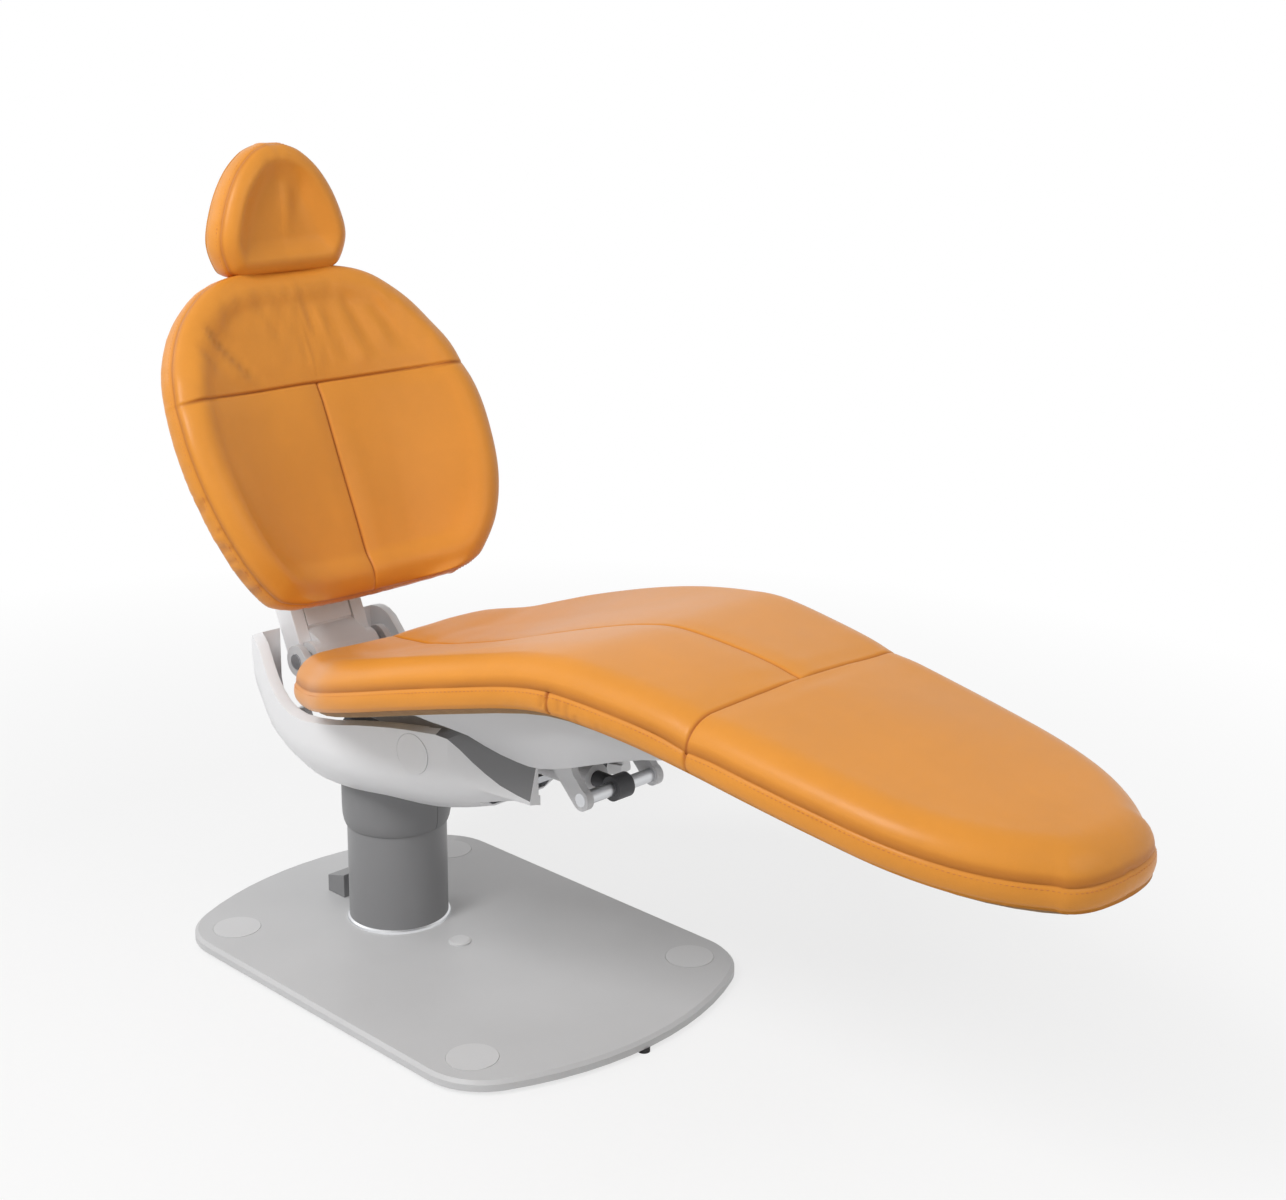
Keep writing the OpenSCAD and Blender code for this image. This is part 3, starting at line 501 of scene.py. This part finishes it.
class Pad:
    """A sewn pad: a crowned face, a rolled edge down to a sewn seam, a side band and a back."""

    def __init__(self, name, places, half_width, face, back, roll, drop, band_shape, place):
        self.name, self.place = name, place
        self.verts, self.folds, self.faces = [], [], []
        w = np.array([half_width(p) for p in places])
        cols = np.concatenate([-ACROSS[:0:-1], ACROSS])
        v = w[:, None] * cols[None, :]
        u = np.repeat(places[:, None], len(cols), 1)
        right = np.stack([places, w], 1)
        away = to_outline(u, v, np.concatenate([right, right[::-1] * [1, -1]]))
        near = np.clip(1 - away / roll, 0, 1)
        height, fold = face(u, v, away)
        height = height - drop * (1 - np.sqrt(np.clip(1 - near**2, 0, 1)))
        under = back(u, v)
        # Painted shade: a thin dark line along the edge of the face, and a little darkening over
        # the whole back.
        edge_shade_line = 0.525 * hump(away, 1.6)
        top = self.sheet(u, v, height, np.clip(fold + edge_shade_line, 0, 1))
        low = self.sheet(u, v * UNDERSIDE, under, np.full(u.shape, 0.15))
        for i in range(len(places) - 1):
            for j in range(len(cols) - 1):
                self.faces.append((top[i, j], top[i + 1, j], top[i + 1, j + 1], top[i, j + 1]))
                self.faces.append((low[i, j + 1], low[i + 1, j + 1], low[i + 1, j], low[i, j]))
        around = self.edge_cells(len(places), len(cols))
        self.ring = np.array([(u[c], v[c]) for c in around])
        self.edge = np.array([height[c] for c in around])
        self.foot = np.array([under[c] for c in around])
        self.out = self.outward()
        steps = np.hypot(*np.diff(self.ring, axis=0).T)
        self.walked = np.concatenate([[0], np.cumsum(steps)])
        self.wrap([top[c] for c in around], [low[c] for c in around], band_shape)

    @staticmethod
    def edge_cells(rows, cols):
        """Rows and columns of the points round the edge, in order."""
        return (
            [(i, cols - 1) for i in range(rows)]
            + [(rows - 1, j) for j in range(cols - 2, -1, -1)]
            + [(i, 0) for i in range(rows - 2, -1, -1)]
            + [(0, j) for j in range(1, cols - 1)]
        )

    def outward(self):
        """Level directions out of the pad at each point of its edge."""
        ahead = np.roll(self.ring, -3, axis=0) - np.roll(self.ring, 3, axis=0)
        out = np.stack([-ahead[:, 1], ahead[:, 0]], 1)
        out /= np.maximum(np.hypot(*out.T), 1e-9)[:, None]
        if ((self.ring - self.ring.mean(0)) * out).sum() < 0:
            out = -out
        return out

    def wrap(self, first, last, band_shape):
        """Close the side from the face's edge to the back's edge."""
        rows = [first]
        for share in BAND[1:-1]:
            push, fold = band_shape(share, self.ring, self.walked)
            p = self.ring + self.out * push[:, None]
            z = self.edge * (1 - share) + self.foot * share
            rows.append(self.sheet(p[:, 0], p[:, 1], z, fold))
        rows.append(last)
        for a, b in zip(rows, rows[1:]):
            for k in range(len(first)):
                m = (k + 1) % len(first)
                self.faces.append((a[k], a[m], b[m], b[k]))

    def sheet(self, u, v, n, fold):
        """Add points with their share of painted fold shade, and return their numbers."""
        start = len(self.verts)
        places = zip(np.ravel(u), np.ravel(v), np.ravel(n))
        self.verts += [self.place(a, b, c) for a, b, c in places]
        self.folds += list(np.ravel(fold))
        return np.arange(start, len(self.verts)).reshape(np.shape(u))

    def make(self, material):
        mesh = bpy.data.meshes.new(self.name)
        verts = [tuple(c * MM for c in v) for v in self.verts]
        mesh.from_pydata(verts, [], [tuple(map(int, f)) for f in self.faces])
        folds = mesh.attributes.new("fold", "FLOAT", "POINT")
        folds.data.foreach_set("value", np.array(self.folds, np.float32))
        work = bmesh.new()
        work.from_mesh(mesh)
        bmesh.ops.remove_doubles(work, verts=work.verts, dist=MERGE)
        bmesh.ops.recalc_face_normals(work, faces=work.faces)
        work.to_mesh(mesh)
        work.free()
        mesh.shade_smooth()
        mesh.materials.append(material)
        return put(self.name, mesh)

    def at(self, walked, values):
        """Values given round the edge, at a distance walked along it."""
        return [np.interp(walked, self.walked, k) for k in values]

    def stitches(self, name, material, body, sink):
        """Thread along the side seam, sunk or standing out by a distance."""
        size = bpy.context.scene.chair_upholstery.stitch / MM
        origin = np.array(self.place(0, 0, 0))
        verts, faces = [], []
        for middle in np.arange(STITCH_PITCH / 2, self.walked[-1] - STITCH_PITCH / 2, STITCH_PITCH):
            ends, ways = [], []
            for end in (-0.5, 0.5):
                walked = middle + end * size
                u, v, ou, ov = self.at(walked, (*self.ring.T, *self.out.T))
                edge, foot = self.at(walked, (self.edge, self.foot))
                z = edge * (1 - STITCH_SHARE) + foot * STITCH_SHARE
                ends.append(np.array(self.place(u + ou * sink, v + ov * sink, z)))
                ways.append((ou, ov))
            side = np.array(self.place(*ways[0], 0)) - origin
            self.stitch(verts, faces, *ends, side / max(np.linalg.norm(side), 1e-6))
        mesh = bpy.data.meshes.new(name)
        mesh.from_pydata(verts, [], faces)
        mesh.shade_smooth()
        mesh.materials.append(material)
        made = put(name, mesh)
        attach(made, body)

    @staticmethod
    def stitch(verts, faces, start, end, side):
        """One spindle of thread from start to end, arched towards side."""
        ahead = (end - start) / max(np.linalg.norm(end - start), 1e-6)
        up = np.cross(ahead, side)
        first, sides = len(verts), STITCH_SIDES
        for t, share in STITCH_SHAPE:
            c = start + (end - start) * t + side * STITCH_ARCH * math.sin(math.pi * t)
            for turn in np.arange(sides) * 2 * math.pi / sides:
                ray = side * math.cos(turn) + up * math.sin(turn)
                verts.append(tuple((c + share * STITCH_RADIUS * ray) * MM))
        starts = [first + g * sides for g in range(len(STITCH_SHAPE))]
        rings = [range(g, g + sides) for g in starts]
        for a, b in zip(rings, rings[1:]):
            for k in range(sides):
                m = (k + 1) % sides
                faces.append((a[k], a[m], b[m], b[k]))
        faces.append(tuple(reversed(rings[0])))
        faces.append(tuple(rings[-1]))


def sew(made, body, node):
    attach(made, body)
    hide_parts(node)


# ---- pieces -----------------------------------------------------------------------

# Place from the rear end, half width, height of the crown and depth of the hollow.
SEAT_ROWS = [
    (-28, 112, 492, 2), (-12, 162, 497, 4), (20, 200, 505, 10), (94, 234, 518, 18),
    (188, 276, 547, 25), (282, 289, 574, 25), (376, 284, 599, 19), (471, 268, 621, 12),
    (565, 245, 639, 5), (640, 236, 645, 0), (753, 222, 635, -4), (847, 213, 621, -5),
    (941, 207, 606, -5), (1035, 199, 591, -5), (1129, 187, 576, -5), (1204, 165, 565, -5),
    (1260, 134, 557, -4), (1304, 94, 551, -3), (1329, 54, 548, -2), (1336, 24, 548, -1),
]
SEAT_START, SEAT_END, SEAT_PITCH = -28, 1338, 7
SEAT_THICK = 70
SEAT_ROLL, SEAT_DROP = 44, 38  # width and depth of the rolled edge
SEAT_HOLLOW = ([0, 0.16, 0.42, 0.68, 0.86, 1], [1, 0.97, 0.78, 0.35, 0.03, 0])
TOE_START, TOE_WIDTH, TOE_LENGTH = 1303, 95, 35.2
KNEE = 850  # cross seam
JOIN = 628  # where the side band's pieces meet
GATHER = 640  # middle of the gathers in the side band


class CHAIR_OT_seat(bpy.types.Operator):
    """Sew the long seat and leg cushion"""

    bl_idname = "chair.seat_cushion"
    bl_label = "Seat and leg cushion"

    def execute(self, context):
        deep = context.scene.chair_upholstery.seam / MM
        rows = smooth_rows(SEAT_ROWS)
        side_width, crest, hollow = (column(rows, k) for k in (1, 2, 3))

        def width(x):
            past = (np.maximum(x, TOE_START) - TOE_START) / TOE_LENGTH
            toe = TOE_WIDTH * np.sqrt(np.clip(1 - past**2, 0, 1))
            return np.where(np.asarray(x) > TOE_START, toe, side_width(x))

        def face(u, v, away):
            share = np.abs(v) / np.maximum(width(u), 1)
            inside = soft_step(away, 8, 60)
            before = 1 - soft_step(u, KNEE - 4, KNEE + 1)
            middle = before * (0.35 + 0.65 * inside)
            cross = u - KNEE
            height = crest(u) - hollow(u) * np.interp(share, *SEAT_HOLLOW)
            height = height - middle * (deep * hump(v, 2.4) + 2.4 * hump(v, 20))
            height = height - (deep * 1.15 * hump(cross, 2.4) + 3.0 * hump(cross, 26))
            height = height + 2.2 * inside * ripple(u / 260, v / 170, 3.0)
            pull = hump(cross, 60) * (0.4 + hump(v, 90)) * inside
            height = height + 0.9 * pull * ripple(u / 26, v / 62, 7.0)
            rear = (1 - soft_step(u, 60, 240)) * inside
            height = height + 1.3 * rear * ripple(u / 46, v / 70, 11.0)
            # Painted shade along the centre seam and the knee seam.
            fold = middle * hump(v, SEAM_WIDTH) + hump(cross, SEAM_WIDTH)
            return height, np.clip(fold, 0, 1)

        def under(u, v):
            return crest(u) - SEAT_THICK

        def band(share, ring, walked):
            x, y = ring.T
            near = hump(x - GATHER, 95)
            gather = near * 1.5 * ripple(walked / 8.5, share * 1.3, 5.0)
            uneven = 0.7 * ripple(walked / 60, share * 1.1, 9.0)
            side = soft_step(np.abs(y), 60, 90)
            joins = side * (hump(x - JOIN, 2.6) + 0.7 * hump(x - KNEE, 2.4))
            push = puffed(share, 3.4, 1.08, 2.2, 0.07) + tucked(share, 6.5, 0.8)
            push = push + gather * math.sin(math.pi * share) + uneven - 2.4 * joins
            # Painted shade: a dark line under the rolled edge, at the joins and in the deepest
            # gather valleys.
            line = 0.7 * math.exp(-((share / 0.06) ** 2))
            return push, np.clip(line + joins * 0.9 + 0.25 * near * (gather < -0.6), 0, 1)

        places = stations(SEAT_START, SEAT_END, SEAT_PITCH, (KNEE, JOIN))
        pad = Pad(
            "seat-cushion", places, width, face, under, SEAT_ROLL, SEAT_DROP, band, upright
        )
        sew(pad.make(leather("seat-leather")), "seat", "seat_cushion")
        pad.stitches("seat-stitching", thread(), "seat", 1.9)
        return {"FINISHED"}


# Height up the backrest, half width and how far the wings stand forward.
BACK_ROWS = [
    (-3, 150, 36), (5, 183, 37), (19, 206, 39), (66, 242, 50), (130, 268, 55), (202, 282, 52),
    (282, 285, 45), (367, 271, 31), (419, 249, 20), (466, 218, 15), (506, 174, 12),
    (524, 140, 11), (533, 106, 11), (537, 78, 10),
]
BACK_START, BACK_END, BACK_PITCH = -3, 537, 6
BACK_THICK, BACK_WING_THICK = 62, 60
BACK_ROLL, BACK_DROP = 34, 20
BACK_LEAN = (-31, 565, 24.3)  # lower end along x and z, and angle
BACK_WING = (
    [0, 0.2, 0.38, 0.52, 0.64, 0.75, 0.84, 0.93, 1],
    [0, 0.035, 0.14, 0.3, 0.5, 0.74, 0.92, 1, 1.02],
)
BOWL_START, BOWL_END, RIM_END = 0.2, 0.6, 0.9  # shares of the half width at the rear
YOKE, YOKE_SAG, YOKE_SPAN = 344, 12, 285  # cross seam and how far it sags at its ends
# Start, end, width and height of each fold in the yoke.
BACK_FOLDS = [
    ((456, -200), (352, -118), 8, 5.0), ((430, -226), (372, -186), 6, 2.6),
    ((474, 40), (362, 62), 7, 3.6), ((482, 88), (366, 112), 8, 5.0),
    ((468, 136), (362, 172), 7, 4.0), ((444, 176), (380, 210), 6, 2.8),
    ((490, -86), (412, -52), 9, 2.4), ((494, 8), (424, 14), 9, 2.0),
]


class CHAIR_OT_back(bpy.types.Operator):
    """Sew the backrest cushion with its yoke and centre seam"""

    bl_idname = "chair.back_cushion"
    bl_label = "Backrest cushion"

    def execute(self, context):
        deep = context.scene.chair_upholstery.seam / MM
        rows = smooth_rows(BACK_ROWS)
        width, wing = column(rows, 1), column(rows, 2)

        def face(u, v, away):
            share = np.abs(v) / np.maximum(width(u), 1)
            inside = soft_step(away, 6, 45)
            below = 1 - soft_step(u, YOKE - 3, YOKE + 1)
            middle = below * (0.3 + 0.7 * inside)
            cross = u - (YOKE - YOKE_SAG * (v / YOKE_SPAN) ** 2)
            height = wing(u) * np.interp(share, *BACK_WING)
            height = height - middle * (deep * hump(v, 2.3) + 2.6 * hump(v, 18))
            height = height - (deep * 1.1 * hump(cross, 2.3) + 2.8 * hump(cross, 20))
            height = height + 3.4 * hump(away - 34, 15)
            height = height + 2.6 * inside * ripple(u / 150, v / 130, 21.0)
            height = height - 3.0 * soft_step(away, 44, 66)
            for start, end, wide, tall in BACK_FOLDS:
                height = height + inside * fold_line(u, v, start, end, wide, tall)
            yoke = soft_step(u, YOKE + 6, YOKE + 30) * inside
            height = height + 1.3 * yoke * ripple(u / 44, v / 15, 23.0)
            # Painted shade along the centre seam and the yoke seam.
            fold = middle * hump(v, SEAM_WIDTH) + hump(cross, SEAM_WIDTH)
            return height, np.clip(fold, 0, 1)

        def rear(u, v):
            share = np.abs(v) / np.maximum(width(u), 1)
            forward = wing(u)
            middle = 0.5 * forward - BACK_THICK
            inner = np.clip((share - BOWL_START) / (BOWL_END - BOWL_START), 0, 1)
            outer = np.clip((share - BOWL_END) / (RIM_END - BOWL_END), 0, 1)
            bowl = -BACK_THICK + inner * (middle + BACK_THICK)
            rim = middle + outer * (forward - BACK_WING_THICK - middle)
            return np.where(share < BOWL_END, bowl, rim)

        def band(share, ring, walked):
            up, across = ring.T
            low = (1 - soft_step(up, 150, 290)) * soft_step(np.abs(across), 110, 190)
            gather = (0.5 + 2.3 * low) * ripple(walked / 10.5, share * 0.9, 31.0)
            push = puffed(share, 3.2, 1.05, 2.2, 0.08) + tucked(share, 7, 0.78)
            push = push + gather * math.sin(math.pi * share)
            # Painted shade: a dark line under the rolled edge and in the deepest gather valleys.
            line = 0.7 * math.exp(-((share / 0.07) ** 2))
            return push, np.clip(line + 0.35 * low * (gather < -0.8), 0, 1)

        places = stations(BACK_START, BACK_END, BACK_PITCH, (YOKE,))
        place = tilted(*BACK_LEAN)
        pad = Pad("back-cushion", places, width, face, rear, BACK_ROLL, BACK_DROP, band, place)
        sew(pad.make(leather("back-leather")), "back", "back_cushion")
        pad.stitches("back-stitching", thread(), "back", 1.4)
        return {"FINISHED"}


# Height up the headrest, half width and how far the wings stand forward.
HEAD_ROWS = [
    (-11, 84, 3), (1, 106, 6), (47, 120, 11), (105, 105, 10), (153, 78, 7), (184, 45, 4),
    (196, 16, 2),
]
HEAD_START, HEAD_END, HEAD_PITCH = -11, 196, 4
HEAD_THICK = 52
HEAD_ROLL, HEAD_DROP = 26, 17
HEAD_LEAN = (-249, 1057, 4.1)
HEAD_WING = ([0, 0.42, 0.75, 0.9, 1], [0, 0.25, 0.8, 1, 1])
HEAD_DISH = 9.5


class CHAIR_OT_head(bpy.types.Operator):
    """Sew the dished headrest cushion"""

    bl_idname = "chair.head_cushion"
    bl_label = "Headrest cushion"

    def execute(self, context):
        rows = smooth_rows(HEAD_ROWS)
        width, wing = column(rows, 1), column(rows, 2)

        def face(u, v, away):
            share = np.abs(v) / np.maximum(width(u), 1)
            inside = soft_step(away, 8, 44)
            height = wing(u) * np.interp(share, *HEAD_WING)
            height = height - HEAD_DISH * soft_step(away, 22, 60) + 2.6 * hump(away - 22, 10)
            height = height + 1.6 * inside * ripple(u / 60, v / 48, 41.0)
            dimple = 4.2 * hump(u - 108, 28) * hump(v - 36, 15)
            ridge = 3.0 * hump(u - 98, 42) * hump(v - 10, 11)
            return height - dimple + ridge, np.zeros_like(u)

        def rear(u, v):
            return np.full(np.shape(u), -HEAD_THICK, float)

        def band(share, ring, walked):
            push = puffed(share, 3.0, 1.05, 2.0, 0.08) + tucked(share, 6, 0.75)
            push = push + 0.7 * ripple(walked / 16, share, 51.0)
            # Painted shade: a dark line under the rolled edge.
            return push, np.full(len(walked), 0.7 * math.exp(-((share / 0.08) ** 2)))

        places = stations(HEAD_START, HEAD_END, HEAD_PITCH)
        place = tilted(*HEAD_LEAN)
        pad = Pad("head-cushion", places, width, face, rear, HEAD_ROLL, HEAD_DROP, band, place)
        sew(pad.make(leather("head-leather")), "headrest", "head_cushion")
        pad.stitches("head-stitching", thread(), "headrest", 1.3)
        return {"FINISHED"}


# Pieces of the frame that get a cover with soft edges.
COVERS = (
    "housing", "seat_shell", "back_shell", "head_shell", "base_plate", "leg_supports",
    "side_caps", "arm_rails", "arm_panel", "lever_arms", "collar_left", "collar_right",
    "anchor_caps", "centre_cap", "cable_entry", "seat_board", "seat_frame", "back_arm",
)
COVER_ANGLE = math.radians(32)  # edges sharper than this are creased and rounded
COVER_MERGE, COVER_SLIVER = 1e-5, 2e-6  # metres
BEVEL_SEGMENTS = 2
# Painted shade: a dark grey put on the sloped faces at the housing's front prongs, standing in for
# the shade under the seat.
FRONT_SHADE_GREY = (0.2, 0.2, 0.205)
FRONT_SHADE_START = 236  # the painted shade's numbers are in millimetres
FRONT_SHADE_INNER, FRONT_SHADE_OUTER = 84, 124
FRONT_SHADE_RIM = ([240, 285, 330, 380, 437], [427, 422, 397, 373, 363])
STEEL = (0.56, 0.57, 0.59)
BAR = (0.72, 0.73, 0.75)
ROD = (0.78, 0.79, 0.81)
BLACK_COAT = (0.06, 0.06, 0.065)


def paint_front_shade(mesh, material):
    """Painted shade: a dark grey on the sloped faces at the housing's front prongs, where the seat
    shades them.
    """
    mesh.materials.append(material)
    for f in mesh.polygons:
        x, y, z = (c / MM for c in f.center)
        within = x > FRONT_SHADE_START and FRONT_SHADE_INNER < abs(y) < FRONT_SHADE_OUTER
        if within and z > np.interp(x, *FRONT_SHADE_RIM) and abs(f.normal.x) < 0.9:
            f.material_index = 1


def softened(node, body, material):
    """A smooth-skinned cover in the place of a moulded or painted piece, with soft edges."""
    mesh = frame["nodes"][node].data.copy()
    mesh.name = node + "-cover"
    work = bmesh.new()
    work.from_mesh(mesh)
    bmesh.ops.remove_doubles(work, verts=work.verts, dist=COVER_MERGE)
    bmesh.ops.dissolve_degenerate(work, edges=work.edges, dist=COVER_SLIVER)
    for e in work.edges:
        e.smooth = not (e.is_manifold and e.calc_face_angle(0) > COVER_ANGLE)
    for f in work.faces:
        f.smooth = True
    work.to_mesh(mesh)
    work.free()
    if "custom_normal" in mesh.attributes:
        mesh.attributes.remove(mesh.attributes["custom_normal"])
    mesh.materials.clear()
    mesh.materials.append(material)
    made = put(node.replace("_", "-") + "-cover", mesh)
    edge = made.modifiers.new("soft edge", "BEVEL")
    edge.width = bpy.context.scene.chair_finish.edge
    edge.segments = BEVEL_SEGMENTS
    edge.limit_method = "ANGLE"
    edge.angle_limit = COVER_ANGLE
    edge.harden_normals = True
    edge.use_clamp_overlap = True
    # The housing's front prongs get the painted shade.
    if node == "housing":
        paint_front_shade(mesh, moulded("front-painted-shade", FRONT_SHADE_GREY, 0.45))
    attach(made, body)
    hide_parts(node)


class CHAIR_OT_dress(bpy.types.Operator):
    """Give every frame piece its finish, and soften the moulded and painted ones"""

    bl_idname = "chair.dress_frame"
    bl_label = "Frame and shells"

    def execute(self, context):
        s = context.scene.chair_finish
        by_slot = {
            "steel": metal("satin-steel", STEEL, 0.3),
            "grey_paint": painted("powder-coat", s.paint),
            "white_shell": moulded("white-shell", s.shell, 0.34),
            "grey_shell": moulded("grey-shell", s.lower, 0.4),
            "upholstery": leather("hide"),
            "rubber_foot": rubber(),
            "board": plywood(),
            "dark_plastic": matt_plastic(),
            "dark_metal": painted("black-coat", BLACK_COAT, 0.5),
            "bright_rod": metal("polished-rod", ROD, 0.12),
        }
        by_node = {
            **dict.fromkeys(("cross_bar", "column_ring"), metal("satin-bar", BAR, 0.26)),
            # Painted shade: the column, collars and cable entry get a darker copy of the powder
            # coat for the seat's shadow.
            **dict.fromkeys(
                ("column_tube", "collar_left", "collar_right", "cable_entry"),
                painted("column-coat", s.column_coat_and_shade),
            ),
            **dict.fromkeys(
                ("anchor_caps", "centre_cap"), painted("cap-coat", tinted(s.paint, 1.12), 0.38)
            ),
        }
        bodies = frame["record"]["behaviour"]["bodies"]
        body_of = {node: body for body, nodes in bodies.items() for node in nodes}
        for part in frame["record"]["subparts"]:
            node, slot = part["node"], part["material_slot"]
            finish = by_node.get(node, by_slot[slot])
            mesh = frame["nodes"][node].data
            mesh.materials.clear()
            mesh.materials.append(finish)
            if node in COVERS:
                softened(node, body_of[node], finish)
        return {"FINISHED"}


# ---- stage ------------------------------------------------------------------------

WHITE = (1, 1, 1)
FLOOR_REACH = 14
FLOOR_TONES = ((0.80, 0.80, 0.80), (0.84, 0.84, 0.84))
FLOOR_FADE = ((0.16, 0.72), (0.46, 1.0))  # a fifth of the distance, and share of plain white
# Each light's place, the point it looks at, its width and its share of its setting.
KEY_LIGHT = ((0.5, -2.9, 3.5), (0.2, 0, 0.6), 1.5, 1)
FILL_LIGHT = ((3.6, 0.6, 2.6), (0.3, 0, 0.5), 2.4, 1.6)
SIDE_LIGHT = ((-2.8, -1.4, 2.4), (0, 0, 0.8), 2.0, 1.2)
CAMERA_PLACE = (2.460, -1.889, 1.4504)
CAMERA_HEADING, CAMERA_DOWN = -0.7875, 0.2  # radians
CAMERA_LENS, CAMERA_SENSOR, CAMERA_SHIFT = 56.606, 36, -0.1341
CAMERA_NEAR, CAMERA_FAR = 0.05, 60


class CHAIR_OT_stage(bpy.types.Operator):
    """Set the floor, the soft lights and the camera"""

    bl_idname = "chair.stage"
    bl_label = "Studio stage"

    def execute(self, context):
        scene = context.scene
        s = scene.chair_stage
        scene.view_settings.view_transform = "Standard"
        self.floor()
        self.sky(scene, s.ambient)
        self.lamp("key light", s.key, *KEY_LIGHT)
        self.lamp("fill light", s.fill, *FILL_LIGHT)
        self.lamp("side light", s.fill, *SIDE_LIGHT)
        scene.camera = self.camera()
        return {"FINISHED"}

    def camera(self):
        data = bpy.data.cameras.new("camera")
        data.lens, data.sensor_width = CAMERA_LENS, CAMERA_SENSOR
        data.shift_y = CAMERA_SHIFT
        data.clip_start, data.clip_end = CAMERA_NEAR, CAMERA_FAR
        camera = put("camera", data)
        camera.location = CAMERA_PLACE
        heading = Vector((math.sin(CAMERA_HEADING), math.cos(CAMERA_HEADING), 0))
        look = heading * math.cos(CAMERA_DOWN) - Vector((0, 0, math.sin(CAMERA_DOWN)))
        camera.rotation_euler = look.to_track_quat("-Z", "Y").to_euler()
        return camera

    def floor(self):
        mesh = bpy.data.meshes.new("floor")
        r = FLOOR_REACH
        mesh.from_pydata([(-r, -r, 0), (r, -r, 0), (r, r, 0), (-r, r, 0)], [], [(0, 1, 2, 3)])
        f = Finish("floor", Roughness=0.9, Specular_IOR_Level=0.1)
        f.set(Base_Color=f.blend(f.cloud(90, 3), *FLOOR_TONES))
        white = f.add("ShaderNodeEmission", values={"Color": WHITE, "Strength": 1.0})
        reach = f.add("ShaderNodeVectorMath", {"operation": "LENGTH"}, {0: f.place}, out="Value")
        share = f.seen() * f.ramp(reach * 0.2, *FLOOR_FADE)
        f.show(f.add("ShaderNodeMixShader", values={0: share, 1: f.surface, 2: white}))
        mesh.materials.append(f.material)
        put("floor", mesh)

    def sky(self, scene, strength):
        scene.world = bpy.data.worlds.new("studio")
        scene.world.use_nodes = True
        sky = Board(scene.world.node_tree, "ShaderNodeOutputWorld")
        even, white = (
            sky.add("ShaderNodeBackground", values={"Color": WHITE, "Strength": level})
            for level in (strength, 1.0)
        )
        sky.show(sky.add("ShaderNodeMixShader", values={0: sky.seen(), 1: even, 2: white}))

    def lamp(self, name, power, place, aim, size, share):
        light = bpy.data.lights.new(name, "AREA")
        light.shape, light.size, light.energy = "DISK", size, power * share
        made = put(name, light)
        made.location = place
        made.rotation_euler = (Vector(aim) - Vector(place)).to_track_quat("-Z", "Y").to_euler()


class CHAIR_PT_panel(bpy.types.Panel):
    """Lists the pieces of the chair and their settings"""

    bl_idname = "CHAIR_PT_panel"
    bl_label = "Dental chair"
    bl_space_type = "VIEW_3D"
    bl_region_type = "UI"
    bl_category = "Chair"

    def draw(self, context):
        for step in STEPS:
            self.layout.operator(step.bl_idname, text=step.bl_label)
        for group in SETTINGS:
            box = self.layout.box()
            for name in SETTINGS[group].__annotations__:
                box.prop(getattr(context.scene, group), name)


SETTINGS = {
    "chair_upholstery": UpholsterySettings,
    "chair_finish": FinishSettings,
    "chair_stage": StageSettings,
}
STEPS = (CHAIR_OT_dress, CHAIR_OT_seat, CHAIR_OT_back, CHAIR_OT_head, CHAIR_OT_stage)


def register():
    for kind in (*SETTINGS.values(), *STEPS, CHAIR_PT_panel):
        bpy.utils.register_class(kind)
    for name, kind in SETTINGS.items():
        setattr(bpy.types.Scene, name, PointerProperty(type=kind))


def unregister():
    for name in SETTINGS:
        delattr(bpy.types.Scene, name)
    for kind in (CHAIR_PT_panel, *reversed(STEPS), *reversed(list(SETTINGS.values()))):
        bpy.utils.unregister_class(kind)


def main():
    register()
    bpy.ops.chair.dress_frame()
    bpy.ops.chair.seat_cushion()
    bpy.ops.chair.back_cushion()
    bpy.ops.chair.head_cushion()
    bpy.ops.chair.stage()


if __name__ == "__main__":
    main()
